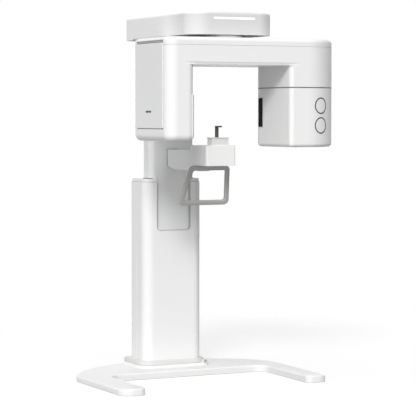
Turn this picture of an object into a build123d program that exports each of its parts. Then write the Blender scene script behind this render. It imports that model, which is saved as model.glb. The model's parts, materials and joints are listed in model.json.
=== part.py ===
import os
from math import cos, hypot, radians, sin, tan

from build123d import *

# Floor-standing dental cone-beam scanner, in millimetres. The origin is on the floor under the
# middle of the column, +X to the right of a patient who faces the column, -Y towards the
# patient and +Z up. The C-arm is modelled square to the column.

# Walls, gaps and cuts that all pieces share
WALL = 4.0                     # moulded covers
GAP = 0.3                      # between pieces that seat in one another
SEAM = 1.2                     # shadow line between two covers
LIP = 9.0                      # tongue of one cover inside the next
OVERRUN = 10.0                 # how far a cut runs past the face that it opens
UPWARD_SHARE = 0.5             # a face counts as upward above this share of its normal

# Base casting: a crossbar with a bowed rear edge and two legs that point at the patient
BASE_HALF_WIDTH = 600.0
BASE_TIP_Y = -766.0
BASE_BAR_FRONT_Y = -272.0
BASE_SHOULDER_Y = -164.0       # where the bowed rear edge meets the sides
BASE_REAR_Y = 155.0
BASE_SHOULDER_RADIUS = 170.0
BASE_CROTCH_RADIUS = 70.0
LEG_WIDTH = 142.0
LEG_TAPER = 12.0               # the outer sides draw in towards the tips
LEG_FALL = 9.0                 # the upper face bends down to the outer sides
TIP_OUTER_RADIUS = 68.0
TIP_INNER_RADIUS = 34.0
BASE_HEIGHT = 37.0
BASE_EDGE_RADIUS = 8.0
SEAT_RISE = 11.0               # swell of the casting up to the column's foot
SEAT_SLOPE_DEG = 62.0
SEAT_MARGIN = 8.0
BASE_RIB = 14.0                # walls round the hollows of the underside
BASE_POCKET_ROOF = 8.0
POCKET_RADIUS = 30.0
LEG_POCKET_REAR_Y = -310.0
LEG_POCKET_FRONT_Y = -585.0
BAR_POCKET_INNER_X = 225.0
BAR_POCKET_REAR_Y = -12.0

# Gloss end caps of the legs, parted from them by an arc
CAP_OUTER_Y = -668.0
CAP_INNER_Y = -738.0
CAP_BULGE = 14.0
CAP_SEAM = 0.6

# Levelling feet, set flush in the underside
FOOT_PAD_RADIUS = 24.0
FOOT_PAD_HEIGHT = 7.0
FOOT_STUD_RADIUS = 6.0
FOOT_STUD_LENGTH = 14.0
FOOT_FRONT_Y = -640.0
FOOT_REAR_Y = -235.0

# Column foot, its bolts and the cable hood beside it
FOOT_MARGIN = 21.0             # beyond the column all round
FOOT_HEIGHT = 25.0
FOOT_BEVEL = 7.0
FOOT_REAR_RADIUS = 8.0
FOOT_CABLE_RADIUS = 28.0
FOOT_CABLE_X = -75.0
BOLT_RADIUS = 8.0
BOLT_HEAD_RADIUS = 12.0
BOLT_HEAD_HEIGHT = 10.0
BOLT_DEPTH = 18.0
FOOT_BOLT_INSET_X = 22.0       # from the column's outline
FOOT_BOLT_INSET_Y = 47.0
HOOD_INSET_X = 25.0            # from the side of the column foot
HOOD_PROUD_Y = 5.0             # in front of the column foot
HOOD_HALF_WIDTH = 15.0
HOOD_HALF_DEPTH = 17.0
HOOD_HEIGHT = 28.0
HOOD_HOLE_RADIUS = 8.0
HOOD_EDGE_RADIUS = 8.0

# Outer column: front and rear cover, with a slot at the front for the chin bracket
COLUMN_HALF_X = 172.0
COLUMN_HALF_Y = 107.0
COLUMN_RADIUS = 52.0
COLUMN_TOP_Z = 1030.0
COLUMN_SEAM_Y = 5.0
NECK_DEPTH = 20.0              # the rear face steps in below the collar
NECK_LOW_DROP = 77.0           # below the collar
NECK_HIGH_DROP = 26.0
SLOT_EDGE = 72.0               # cover left at each side of the slot
SLOT_DROP = 261.0              # below the collar
SLOT_RADIUS = 22.0
SLOT_LIP_WALL = 4.0
STRIP_WRAP = 20.0              # behind the column's front face
STRIP_DROP = 309.0             # below the collar
STRIP_INSET = 0.8
COLLAR_HEIGHT = 18.0
COLLAR_INSET = 4.0
COLLAR_EDGE_RADIUS = 3.0

# Lifting column and what guides it
INNER_SIDE_SPACE = 41.0        # from the outer column's sides, front and rear
INNER_FRONT_SPACE = 20.0
INNER_REAR_SPACE = 88.0
INNER_RADIUS = 30.0
INNER_WALL = 5.0
INNER_FLOOR_GAP = 17.0         # over the column foot when the lift is down
INNER_GAP = 1.5                # between the two columns, at the collar and the slot's lips
LIFT_DOWN = 330.0
LIFT_UP = 350.0
SPINE_REAR_SPACE = 41.0        # from its front to the column's rear face
SPINE_SHEET = 6.0
SPINE_SIDE_SPACE = 60.0
SPINE_RETURN = 10.0
SPINE_DROP = 18.0              # below the collar
RAIL_EDGE = 27.0               # from the spine's edge to a rail's middle
RAIL_WIDTH = 20.0
RAIL_DEPTH = 14.0
RAIL_END_GAP = 12.0
CARRIAGE_WIDTH = 48.0
CARRIAGE_HEIGHT = 80.0
CARRIAGE_SPACING = 120.0
CARRIAGE_START = 22.0          # above the lower end of the lifting column
CARRIAGE_GRIP = 10.0
SUPPLY_HALF_X = 60.0
SUPPLY_DEPTH = 22.0
SUPPLY_RISE = 87.0             # above the column foot
SUPPLY_HEIGHT = 240.0

# Lift actuator, upright inside the lifting column
ACTUATOR_Y = -34.0
ACTUATOR_TUBE_RADIUS = 25.0
ACTUATOR_BORE_RADIUS = 16.0
ACTUATOR_ROD_RADIUS = 15.0
ACTUATOR_ROD_RISE = 85.0       # above the chin bracket
ACTUATOR_END_GAP = 50.0
GEARBOX_LEFT_X = -38.0
GEARBOX_RIGHT_X = 108.0
GEARBOX_HALF_Y = 35.0
GEARBOX_HEIGHT = 38.0
GEARBOX_RADIUS = 10.0
LIFT_MOTOR_X = 70.0
LIFT_MOTOR_RADIUS = 31.0
LIFT_MOTOR_HEIGHT = 130.0
LIFT_MOTOR_CAP_RADIUS = 24.0
LIFT_MOTOR_CAP_HEIGHT = 16.0
ROD_PLATE_THICKNESS = 12.0

# Chin bracket, chin box and what stands on it
BRACKET_HALF_X = 30.0
BRACKET_HEIGHT = 106.0
BRACKET_DROP = 30.0            # below the top of the chin box
BRACKET_CUT_HEIGHT = 21.0
BRACKET_CUT_LENGTH = 95.0
BRACKET_EDGE_RADIUS = 4.0
BRACKET_WALL = 5.0
BRACKET_BOLT_RADIUS = 5.0
BRACKET_BOLT_HEAD_RADIUS = 8.0
BRACKET_BOLT_HEAD_HEIGHT = 8.0
BRACKET_BOLT_X = 16.0
BOX_HALF_X = 84.0
BOX_FRONT_SPACE = 23.0         # behind the C-arm's axis
BOX_LENGTH = 195.0
BOX_BOTTOM_Z = 1131.0
BOX_HEIGHT = 104.0
BOX_RADIUS = 12.0
BOX_EDGE_RADIUS = 3.0
BOX_FLOOR = 6.0
HOLDER_SPACE = 38.0            # from the front of the chin box to the holder's middle
HOLDER_HALF_X = 47.0
HOLDER_HALF_Y = 30.0
HOLDER_HEIGHT = 41.0
HOLDER_RADIUS = 4.0
HOLDER_PLATE_THICKNESS = 3.5
HOLDER_PLATE_MARGIN = 2.5
RIB_PITCH = 9.0
RIB_GROOVE_WIDTH = 3.0
RIB_GROOVE_DEPTH = 2.0
RIB_GROOVE_FOOT = 5.0

# Bite block, a stick that lifts out of its holder
BITE_SPACE = 52.0              # from the front of the chin box
BITE_RADIUS = 9.5
BITE_HEIGHT = 59.0             # above its holder
BITE_SOCKET_FLOOR = 11.0
BITE_TIP_LENGTH = 30.0
BITE_TIP_HALF_X = 11.0
BITE_TIP_THICKNESS = 8.0
BITE_TIP_RADIUS = 3.0

# Hand grip, a closed loop that slopes back under the chin box
GRIP_SPACE = 135.0             # from the front of the chin box
GRIP_DROP = 182.0
GRIP_SETBACK = 72.0
GRIP_TOP_HALF_X = 113.0
GRIP_BOTTOM_HALF_X = 146.0
GRIP_BAR = 25.0
GRIP_DEPTH = 20.0
GRIP_CORNER_RADIUS = 26.0
GRIP_EDGE_RADIUS = 7.0

# Top frame on the lifting column
TOP_HALF_X = 241.0
TOP_OVERHANG = 124.0           # in front of the C-arm's axis
TOP_BOTTOM_Z = 1791.0
TOP_HEIGHT = 107.0
TOP_CROWN = 10.0
TOP_FRONT_RADIUS = 100.0
TOP_REAR_RADIUS = 60.0
TOP_EDGE_RADIUS = 8.0
TOP_PLATE_THICKNESS = 12.0
SKIRT_LENGTH = 124.0
SKIRT_DEPTH = 7.0
CABLE_PORT_RADIUS = 32.0
LIGHT_HALF_X = 116.0
LIGHT_RISE = 82.0              # above the underside
LIGHT_HEIGHT = 10.0
LIGHT_INSET = 0.5
LIGHT_DEPTH = 7.0

# Turning bearing, belt drive and spindle of the C-arm
AXIS_Y = -697.0
SHAFT_RADIUS = 60.0
SHAFT_BORE_RADIUS = 40.0
FIT = 0.1                      # radial fit of rings and pulleys on their shafts
INNER_RING_WALL = 8.0
LINER_WALL = 3.0
OUTER_RING_WALL = 17.0
RING_FLANGE = 16.0
RING_FLANGE_HEIGHT = 10.0
BEARING_HEIGHT = 30.0
SHAFT_PLATE_GAP = 6.0
ARM_PULLEY_RADIUS = 80.0
PULLEY_HEIGHT = 18.0
DRIVE_PULLEY_RADIUS = 20.0
PULLEY_SPACING = 190.0
DRIVE_SHAFT_RADIUS = 6.0
DRIVE_SHAFT_DEPTH = 22.0
BELT_THICKNESS = 3.0
BELT_WIDTH = 12.0
NUT_HEIGHT = 10.0
NUT_RADIUS = 74.0
TURN_MOTOR_HALF = 30.0
TURN_MOTOR_RADIUS = 6.0
NECK_RADIUS = 92.0
NECK_GAP = 3.0                 # between the turning neck and the fixed plate
SPINDLE_FLANGE_RADIUS = 112.0
SPINDLE_FLANGE_HEIGHT = 12.0
SPINDLE_BOLT_CIRCLE_RADIUS = 102.0
SPINDLE_BOLT_TURN_DEG = 33.0   # from the spar's length
SPINDLE_BOLT_RADIUS = 5.0
SPINDLE_BOLT_HEAD_RADIUS = 7.5
SPINDLE_BOLT_HEAD_HEIGHT = 8.0

# C-arm housing: detector post at the left, beam, round tube head at the right
ARM_LEFT_X = -411.0
ARM_HEAD_X = 382.0             # centre of the round end
ARM_HALF_DEPTH = 216.0
ARM_CORNER_RADIUS = 56.0
ARM_TOP_GAP = 17.0             # under the top frame
LID_HEIGHT = 40.0
LID_EDGE_RADIUS = 20.0
BEAM_HEIGHT = 95.5
CREASE_HEIGHT = 13.0           # shallow bevel along the beam's lower front and rear edges
CREASE_DEPTH = 5.0
CREASE_STEP = 1.4              # ledge along the top of the bevel
CREASE_RUNOUT = 62.0
CREASE_END_SHARE = 0.05
POST_END_WALL = 10.0
POST_WIDTH = 147.0
POST_LENGTH = 378.5            # below the beam
POST_BOTTOM_RADIUS = 32.0
POST_EDGE_RADIUS = 34.0
DETECTOR_SWELL = 7.0           # the post thickens in front of the detector
SWELL_HEIGHT = 230.0
SWELL_SLOPE_HEIGHT = 26.0
PAD_EDGE = 5.0                 # the pad stays back from the post's outline
HEAD_FLAT = 112.0              # from the inner face to the centre of the round end
HEAD_SEAM_DROP = 107.0         # below the beam
HEAD_DROP = 411.5
HEAD_FRONT_RADIUS = 22.0
HEAD_REAR_RADIUS = 107.0
HEAD_BOTTOM_RADIUS = 18.0
HEAD_RIM_HEIGHT = 8.0

# Service panel in the flat end of the post
PANEL_FOOT = 60.0              # above the lower end of the post
PANEL_HEAD = 16.0              # below the top of the C-arm
PANEL_POCKET = 6.0
PANEL_LEDGE = 14.0
PANEL_GAP = 3.0
PANEL_FINGER_GAP = 14.0        # groove over the panel, to lift it out by
PANEL_PROUD = 2.5
PANEL_BEVEL = 2.0
PANEL_RADIUS = 10.0

# Detector and X-ray source, hung from a beam inside the C-arm
SPAR_POST_SPACE = 62.0         # from the post's inner face
SPAR_HEAD_REACH = 84.0         # beyond the centre of the round end
SPAR_HALF_Y = 75.0
SPAR_ROOF_SPACE = 22.0         # under the lid
SPAR_SHEET = 8.0
HANGER_SHEET = 12.0
DETECTOR_HALF_Y = 80.0
DETECTOR_FOOT = 40.0           # above the lower end of the post
DETECTOR_HEIGHT = 140.0
DETECTOR_DEPTH = 34.0
WINDOW_HALF_Y = 92.0
WINDOW_FOOT = 40.0
WINDOW_HEIGHT = 148.0
WINDOW_SEAT = 3.0
WINDOW_PROUD = 0.5
WINDOW_RADIUS = 8.0
TANK_SPACE = 66.0              # from the head's inner face
TANK_REACH_SHARE = 0.6         # of the head's radius
TANK_SHIFT = 40.0              # towards the beam window
TANK_HALF_Y = 80.0
TANK_FOOT = 67.0               # above the lower end of the head
TANK_HEAD = 26.0               # below the head's seam
TANK_RADIUS = 25.0
SLIT_WIDTH = 44.0
SLIT_REAR_SPACE = 87.0         # from the rear of the head
SLIT_FOOT = 102.0              # above the lower end of the head
SLIT_HEIGHT = 148.0
SLIT_SEAT = 3.0
SLIT_PROUD = 3.0
COLLIMATOR_HALF_Y = 28.0
COLLIMATOR_SLOT = 6.0
COLLIMATOR_GAP = 4.0

# Round service caps on the tube head, each in a ring
CAP_TURN_DEG = 19.0            # round the head from its front
CAP_FOOT = 110.0               # above the lower end of the head
CAP_SPACING = 100.0
CAP_RING_RADIUS = 42.0
CAP_RING_WIDTH = 6.0
CAP_SEAT = 3.0
CAP_RING_PROUD = 1.0
CAP_DISC_PROUD = 0.4

# Places that follow from the sizes above
LEG_INNER_X = BASE_HALF_WIDTH - LEG_WIDTH
LEG_X = BASE_HALF_WIDTH - LEG_WIDTH / 2
LEG_CROWN_RADIUS = (LEG_WIDTH**2 + LEG_FALL**2) / (2 * LEG_FALL)
SEAT_TOP_Z = BASE_HEIGHT + SEAT_RISE
FOOT_HALF_X = COLUMN_HALF_X + FOOT_MARGIN
FOOT_HALF_Y = COLUMN_HALF_Y + FOOT_MARGIN
FOOT_BOLT_X = COLUMN_HALF_X - FOOT_BOLT_INSET_X
FOOT_BOLT_Y = COLUMN_HALF_Y - FOOT_BOLT_INSET_Y
HOOD_X = FOOT_HALF_X - HOOD_INSET_X
HOOD_Y = -FOOT_HALF_Y - HOOD_PROUD_Y
COLUMN_BOTTOM_Z = SEAT_TOP_Z + FOOT_HEIGHT
COLLAR_TOP_Z = COLUMN_TOP_Z + COLLAR_HEIGHT
NECK_LOW_Z = COLUMN_TOP_Z - NECK_LOW_DROP
NECK_HIGH_Z = COLUMN_TOP_Z - NECK_HIGH_DROP
SLOT_HALF_WIDTH = COLUMN_HALF_X - SLOT_EDGE
SLOT_BOTTOM_Z = COLUMN_TOP_Z - SLOT_DROP
STRIP_FRONT_Y = -COLUMN_HALF_Y + STRIP_WRAP
STRIP_TOP_Z = COLUMN_TOP_Z - STRIP_DROP
INNER_HALF_X = COLUMN_HALF_X - INNER_SIDE_SPACE
INNER_FRONT_Y = -COLUMN_HALF_Y + INNER_FRONT_SPACE
INNER_REAR_Y = COLUMN_HALF_Y - INNER_REAR_SPACE
INNER_BOTTOM_Z = COLUMN_BOTTOM_Z + LIFT_DOWN + INNER_FLOOR_GAP
SPINE_FRONT_Y = COLUMN_HALF_Y - SPINE_REAR_SPACE
SPINE_HALF_X = COLUMN_HALF_X - SPINE_SIDE_SPACE
SPINE_TOP_Z = COLUMN_TOP_Z - SPINE_DROP
RAIL_X = SPINE_HALF_X - RAIL_EDGE
SUPPLY_LOW_Z = COLUMN_BOTTOM_Z + SUPPLY_RISE

BOX_FRONT_Y = AXIS_Y + BOX_FRONT_SPACE
BOX_REAR_Y = BOX_FRONT_Y + BOX_LENGTH
BOX_TOP_Z = BOX_BOTTOM_Z + BOX_HEIGHT
BRACKET_TOP_Z = BOX_TOP_Z - BRACKET_DROP
BRACKET_BOTTOM_Z = BRACKET_TOP_Z - BRACKET_HEIGHT
HOLDER_Y = BOX_FRONT_Y + HOLDER_SPACE
HOLDER_TOP_Z = BOX_TOP_Z + HOLDER_HEIGHT
BITE_Y = BOX_FRONT_Y + BITE_SPACE
BITE_FOOT_Z = BOX_TOP_Z + BITE_SOCKET_FLOOR
BITE_TOP_Z = HOLDER_TOP_Z + BITE_HEIGHT
GRIP_TOP_Y = BOX_FRONT_Y + GRIP_SPACE
GEARBOX_TOP_Z = COLUMN_BOTTOM_Z + GEARBOX_HEIGHT
ACTUATOR_ROD_TOP_Z = BRACKET_TOP_Z + ACTUATOR_ROD_RISE
ACTUATOR_TUBE_TOP_Z = ACTUATOR_ROD_TOP_Z - LIFT_DOWN - ACTUATOR_END_GAP
ACTUATOR_ROD_LOW_Z = ACTUATOR_TUBE_TOP_Z - LIFT_UP - ACTUATOR_END_GAP

TOP_FRONT_Y = AXIS_Y - TOP_OVERHANG
TOP_REAR_Y = INNER_REAR_Y
SKIRT_FRONT_Y = TOP_REAR_Y - SKIRT_LENGTH
LIGHT_Z = TOP_BOTTOM_Z + LIGHT_RISE
PLATE_TOP_Z = TOP_BOTTOM_Z + TOP_PLATE_THICKNESS
BEARING_TOP_Z = PLATE_TOP_Z + BEARING_HEIGHT
LINER_TOP_Z = BEARING_TOP_Z + LINER_WALL
PULLEY_LOW_Z = LINER_TOP_Z + GAP + RING_FLANGE_HEIGHT
PULLEY_TOP_Z = PULLEY_LOW_Z + PULLEY_HEIGHT
NUT_TOP_Z = PULLEY_TOP_Z + NUT_HEIGHT
INNER_RING_RADIUS = SHAFT_RADIUS + FIT + INNER_RING_WALL
LINER_RADIUS = INNER_RING_RADIUS + GAP + LINER_WALL
FLANGE_RADIUS = INNER_RING_RADIUS + RING_FLANGE
DRIVE_Y = AXIS_Y + PULLEY_SPACING

ARM_TOP_Z = TOP_BOTTOM_Z - ARM_TOP_GAP
LID_BOTTOM_Z = ARM_TOP_Z - LID_HEIGHT
BEAM_BOTTOM_Z = LID_BOTTOM_Z - BEAM_HEIGHT
POST_BOTTOM_Z = BEAM_BOTTOM_Z - POST_LENGTH
POST_INNER_X = ARM_LEFT_X + POST_WIDTH
POST_RIM_RADIUS = min(POST_BOTTOM_RADIUS, POST_EDGE_RADIUS - GAP)
SWELL_TOP_Z = POST_BOTTOM_Z + SWELL_HEIGHT
DETECTOR_FACE_X = POST_INNER_X + DETECTOR_SWELL
DETECTOR_LOW_Z = POST_BOTTOM_Z + DETECTOR_FOOT
WINDOW_LOW_Z = POST_BOTTOM_Z + WINDOW_FOOT
PANEL_HALF_Y = ARM_HALF_DEPTH - ARM_CORNER_RADIUS
PANEL_LOW_Z = POST_BOTTOM_Z + PANEL_FOOT
PANEL_HIGH_Z = ARM_TOP_Z - PANEL_HEAD
HEAD_INNER_X = ARM_HEAD_X - HEAD_FLAT
HEAD_SEAM_Z = BEAM_BOTTOM_Z - HEAD_SEAM_DROP
HEAD_BOTTOM_Z = BEAM_BOTTOM_Z - HEAD_DROP
SPAR_LEFT_X = POST_INNER_X - SPAR_POST_SPACE
SPAR_RIGHT_X = ARM_HEAD_X + SPAR_HEAD_REACH
SPAR_LOW_Z = BEAM_BOTTOM_Z + WALL
SPAR_TOP_Z = LID_BOTTOM_Z - SPAR_ROOF_SPACE
SPINDLE_NECK_Z = SPAR_TOP_Z + SPINDLE_FLANGE_HEIGHT
TANK_LEFT_X = HEAD_INNER_X + TANK_SPACE
TANK_RIGHT_X = ARM_HEAD_X + TANK_REACH_SHARE * ARM_HALF_DEPTH
TANK_Y = AXIS_Y + TANK_SHIFT
TANK_LOW_Z = HEAD_BOTTOM_Z + TANK_FOOT
TANK_TOP_Z = HEAD_SEAM_Z - TANK_HEAD
SLIT_REAR_Y = AXIS_Y + ARM_HALF_DEPTH - SLIT_REAR_SPACE
SLIT_FRONT_Y = SLIT_REAR_Y - SLIT_WIDTH
SLIT_LOW_Z = HEAD_BOTTOM_Z + SLIT_FOOT
CAP_LOWER_Z = HEAD_BOTTOM_Z + CAP_FOOT
CAP_UPPER_Z = CAP_LOWER_Z + CAP_SPACING


def rect(x_low, x_high, y_low, y_high):
    """Rectangle between two corners."""
    centre = Pos((x_low + x_high) / 2, (y_low + y_high) / 2)
    return centre * Rectangle(x_high - x_low, y_high - y_low)


def rounded_rect(x_low, x_high, y_low, y_high, radius):
    """Rectangle between two corners, with all corners rounded."""
    centre = Pos((x_low + x_high) / 2, (y_low + y_high) / 2)
    return centre * RectangleRounded(x_high - x_low, y_high - y_low, radius)


def prism(sketch, z_low, z_high):
    """Upright prism of a plan."""
    return Pos(0, 0, z_low) * extrude(sketch, amount=z_high - z_low)


def block(x_low, x_high, y_low, y_high, z_low, z_high):
    """Plain block between two corners."""
    return prism(rect(x_low, x_high, y_low, y_high), z_low, z_high)


def disc(x, y, radius, z_low, z_high):
    """Upright round bar."""
    return prism(Pos(x, y) * Circle(radius), z_low, z_high)


def ring(x, y, inner_radius, outer_radius, z_low, z_high):
    """Upright tube."""
    return prism(Pos(x, y) * (Circle(outer_radius) - Circle(inner_radius)), z_low, z_high)


def side_prism(outline, x_low, x_high):
    """Prism across X of an outline drawn in Y and Z."""
    return Pos(x_low, 0, 0) * extrude(Plane.YZ * outline, amount=x_high - x_low)


def front_prism(outline, y_low, y_high):
    """Prism along Y of an outline drawn in X and Z."""
    return Pos(0, y_high, 0) * extrude(Plane.XZ * outline, amount=y_high - y_low)


def polygon(*points):
    """Closed outline through its corners."""
    return make_face(Polyline(*points, close=True))


def group(pieces):
    """Separate solids that share one node."""
    return Compound(children=list(pieces))


def mirrored(piece):
    """The same piece on the other side of the column."""
    return mirror(piece, about=Plane.YZ)


def top_edges(piece):
    return piece.faces().sort_by(Axis.Z)[-1].edges()


def bottom_edges(piece):
    return piece.faces().sort_by(Axis.Z)[0].edges()


def rim_edges(piece):
    """Edges round the upper side of a piece, without those between two upward faces."""
    tops = [face for face in piece.faces() if face.normal_at().Z > UPWARD_SHARE]
    rims = [edge for face in tops for edge in face.edges()]
    return [edge for edge in rims if sum(edge.is_same(other) for other in rims) == 1]


# Base


def base_plan():
    rear = ThreePointArc(
        (-BASE_HALF_WIDTH, BASE_SHOULDER_Y), (0, BASE_REAR_Y), (BASE_HALF_WIDTH, BASE_SHOULDER_Y)
    )
    tip_x = BASE_HALF_WIDTH - LEG_TAPER
    sides = Polyline(
        (BASE_HALF_WIDTH, BASE_SHOULDER_Y),
        (tip_x, BASE_TIP_Y),
        (-tip_x, BASE_TIP_Y),
        (-BASE_HALF_WIDTH, BASE_SHOULDER_Y),
    )
    plan = make_face(rear + sides)
    plan = fillet(plan.vertices().group_by(Axis.Y)[-1], BASE_SHOULDER_RADIUS)
    foot_space = rect(-LEG_INNER_X, LEG_INNER_X, BASE_TIP_Y - OVERRUN, BASE_BAR_FRONT_Y)
    plan -= fillet(foot_space.vertices().group_by(Axis.Y)[-1], BASE_CROTCH_RADIUS)
    tips = plan.vertices().group_by(Axis.Y)[0].sort_by(Axis.X)
    plan = fillet(tips[1:3], TIP_INNER_RADIUS)
    tips = plan.vertices().group_by(Axis.Y)[0].sort_by(Axis.X)
    return fillet([tips[0], tips[-1]], TIP_OUTER_RADIUS)


def base_crown():
    """Upper side of the casting across: level in the middle, bent down over the legs."""
    fall = LEG_CROWN_RADIUS
    low_z = BASE_HEIGHT - LEG_FALL
    mid_x = LEG_INNER_X + LEG_WIDTH / 2
    mid_z = BASE_HEIGHT - fall + (fall**2 - (LEG_WIDTH / 2) ** 2) ** 0.5
    left = ThreePointArc((-BASE_HALF_WIDTH, low_z), (-mid_x, mid_z), (-LEG_INNER_X, BASE_HEIGHT))
    right = ThreePointArc((LEG_INNER_X, BASE_HEIGHT), (mid_x, mid_z), (BASE_HALF_WIDTH, low_z))
    rest = Polyline(
        (BASE_HALF_WIDTH, low_z),
        (BASE_HALF_WIDTH, -OVERRUN),
        (-BASE_HALF_WIDTH, -OVERRUN),
        (-BASE_HALF_WIDTH, low_z),
    )
    middle = Line((-LEG_INNER_X, BASE_HEIGHT), (LEG_INNER_X, BASE_HEIGHT))
    outline = make_face(left + middle + right + rest)
    return front_prism(outline, BASE_TIP_Y - OVERRUN, BASE_REAR_Y + OVERRUN)


def base_body():
    """Casting and end caps in one, before they are parted."""
    plan = base_plan()
    slab = prism(plan, 0, BASE_HEIGHT) & base_crown()
    slab = fillet(rim_edges(slab), BASE_EDGE_RADIUS)
    spread = SEAT_MARGIN + SEAT_RISE * tan(radians(SEAT_SLOPE_DEG))
    half_x = FOOT_HALF_X + spread
    half_y = FOOT_HALF_Y + spread
    seat_plan = rounded_rect(-half_x, half_x, -half_y, half_y, COLUMN_RADIUS + spread)
    seat = extrude(seat_plan, amount=SEAT_RISE, taper=SEAT_SLOPE_DEG)
    inside = rect(-LEG_INNER_X, LEG_INNER_X, BASE_BAR_FRONT_Y, BASE_REAR_Y)
    inner_plan = offset(plan, amount=-BASE_EDGE_RADIUS)
    seat = (Pos(0, 0, BASE_HEIGHT) * seat) & prism(inner_plan & inside, BASE_HEIGHT, SEAT_TOP_Z)
    return slab + seat


def cap_zone(shift):
    """Ground in front of the arc that parts a leg from its end cap."""
    outer_x = BASE_HALF_WIDTH + OVERRUN
    inner_x = LEG_INNER_X - OVERRUN
    front_y = BASE_TIP_Y - OVERRUN
    middle = (LEG_X, (CAP_OUTER_Y + CAP_INNER_Y) / 2 + CAP_BULGE + shift)
    parting = ThreePointArc(
        (inner_x, CAP_INNER_Y + shift), middle, (outer_x, CAP_OUTER_Y + shift)
    )
    rest = Polyline(
        (outer_x, CAP_OUTER_Y + shift),
        (outer_x, front_y),
        (inner_x, front_y),
        (inner_x, CAP_INNER_Y + shift),
    )
    return prism(make_face(parting + rest), -OVERRUN, BASE_HEIGHT + OVERRUN)


def foot_places():
    return [(side * LEG_X, y) for side in (-1, 1) for y in (FOOT_FRONT_Y, FOOT_REAR_Y)]


def base_pockets():
    """Hollows in the underside of one half of the casting."""
    roof_z = BASE_HEIGHT - LEG_FALL - BASE_POCKET_ROOF
    leg = rounded_rect(
        LEG_INNER_X + BASE_RIB,
        BASE_HALF_WIDTH - BASE_RIB,
        LEG_POCKET_FRONT_Y,
        LEG_POCKET_REAR_Y,
        POCKET_RADIUS,
    )
    bar = rounded_rect(
        BAR_POCKET_INNER_X,
        LEG_INNER_X - BASE_RIB,
        BASE_BAR_FRONT_Y + BASE_RIB,
        BAR_POCKET_REAR_Y,
        POCKET_RADIUS,
    )
    return prism(leg, -OVERRUN, roof_z) + prism(bar, -OVERRUN, roof_z)


def base_casting():
    pockets = base_pockets()
    zone = cap_zone(CAP_SEAM)
    casting = base_body() - pockets - mirrored(pockets) - zone - mirrored(zone)
    stud_top = FOOT_PAD_HEIGHT + FOOT_STUD_LENGTH + GAP
    for x, y in foot_places():
        casting -= disc(x, y, FOOT_PAD_RADIUS + GAP, -OVERRUN, FOOT_PAD_HEIGHT)
        casting -= disc(x, y, FOOT_STUD_RADIUS + GAP, 0, stud_top)
    for x, y in foot_bolt_places():
        casting -= disc(x, y, BOLT_RADIUS + GAP, SEAT_TOP_Z - BOLT_DEPTH, SEAT_TOP_Z + OVERRUN)
    return casting


def leg_cap():
    return base_body() & cap_zone(0)


def levelling_feet():
    feet = []
    for x, y in foot_places():
        pad = disc(x, y, FOOT_PAD_RADIUS, 0, FOOT_PAD_HEIGHT)
        stud_top = FOOT_PAD_HEIGHT + FOOT_STUD_LENGTH
        feet.append(pad + disc(x, y, FOOT_STUD_RADIUS, FOOT_PAD_HEIGHT, stud_top))
    return group(feet)


# Column foot


def foot_plan(grow):
    half_x = FOOT_HALF_X + grow
    half_y = FOOT_HALF_Y + grow
    plan = rect(-half_x, half_x, -half_y, half_y)
    front_radius = COLUMN_RADIUS + FOOT_HALF_X - COLUMN_HALF_X + grow
    plan = fillet(plan.vertices().group_by(Axis.Y)[0], front_radius)
    return fillet(plan.vertices().group_by(Axis.Y)[-1], FOOT_REAR_RADIUS + grow)


def foot_bolt_places():
    return [(x, y) for x in (-FOOT_BOLT_X, FOOT_BOLT_X) for y in (-FOOT_BOLT_Y, FOOT_BOLT_Y)]


def column_foot():
    foot = prism(foot_plan(0), SEAT_TOP_Z, COLUMN_BOTTOM_Z)
    foot = chamfer(top_edges(foot), FOOT_BEVEL)
    low_z = SEAT_TOP_Z - OVERRUN
    high_z = COLUMN_BOTTOM_Z + OVERRUN
    foot -= disc(FOOT_CABLE_X, ACTUATOR_Y, FOOT_CABLE_RADIUS, low_z, high_z)
    for x, y in foot_bolt_places():
        foot -= disc(x, y, BOLT_RADIUS + GAP, low_z, high_z)
    return foot


def foot_bolts():
    bolts = []
    for x, y in foot_bolt_places():
        head = prism(
            Pos(x, y) * RegularPolygon(BOLT_HEAD_RADIUS, 6),
            COLUMN_BOTTOM_Z,
            COLUMN_BOTTOM_Z + BOLT_HEAD_HEIGHT,
        )
        shank = disc(x, y, BOLT_RADIUS, SEAT_TOP_Z - BOLT_DEPTH, COLUMN_BOTTOM_Z)
        bolts.append(head + shank)
    return group(bolts)


def cable_hood():
    """Small hood over the cable's way out, beside the rounded corner of the column foot."""
    top_z = BASE_HEIGHT + HOOD_HEIGHT
    plan = rounded_rect(
        HOOD_X - HOOD_HALF_WIDTH,
        HOOD_X + HOOD_HALF_WIDTH,
        HOOD_Y - HOOD_HALF_DEPTH,
        HOOD_Y + HOOD_HALF_DEPTH,
        HOOD_EDGE_RADIUS,
    )
    hood = prism(plan, BASE_HEIGHT, top_z)
    hood = fillet(top_edges(hood), HOOD_EDGE_RADIUS / 2)
    hole = Pos(HOOD_X, (SEAT_TOP_Z + top_z) / 2) * Circle(HOOD_HOLE_RADIUS)
    hood -= front_prism(hole, HOOD_Y - HOOD_HALF_DEPTH - OVERRUN, HOOD_Y)
    hood -= prism(foot_plan(GAP), SEAT_TOP_Z, COLUMN_BOTTOM_Z)
    return hood - base_body()


# Outer column


def column_body(inset, z_low, z_high):
    """Column outline as a solid, with the step in its rear face."""
    half_x = COLUMN_HALF_X - inset
    half_y = COLUMN_HALF_Y - inset
    body = prism(
        rounded_rect(-half_x, half_x, -half_y, half_y, COLUMN_RADIUS - inset), z_low, z_high
    )
    neck = polygon(
        (half_y, NECK_LOW_Z),
        (half_y - NECK_DEPTH, NECK_HIGH_Z),
        (half_y - NECK_DEPTH, z_high + OVERRUN),
        (half_y + OVERRUN, z_high + OVERRUN),
        (half_y + OVERRUN, NECK_LOW_Z),
    )
    return body - side_prism(neck, -COLUMN_HALF_X, COLUMN_HALF_X)


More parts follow.
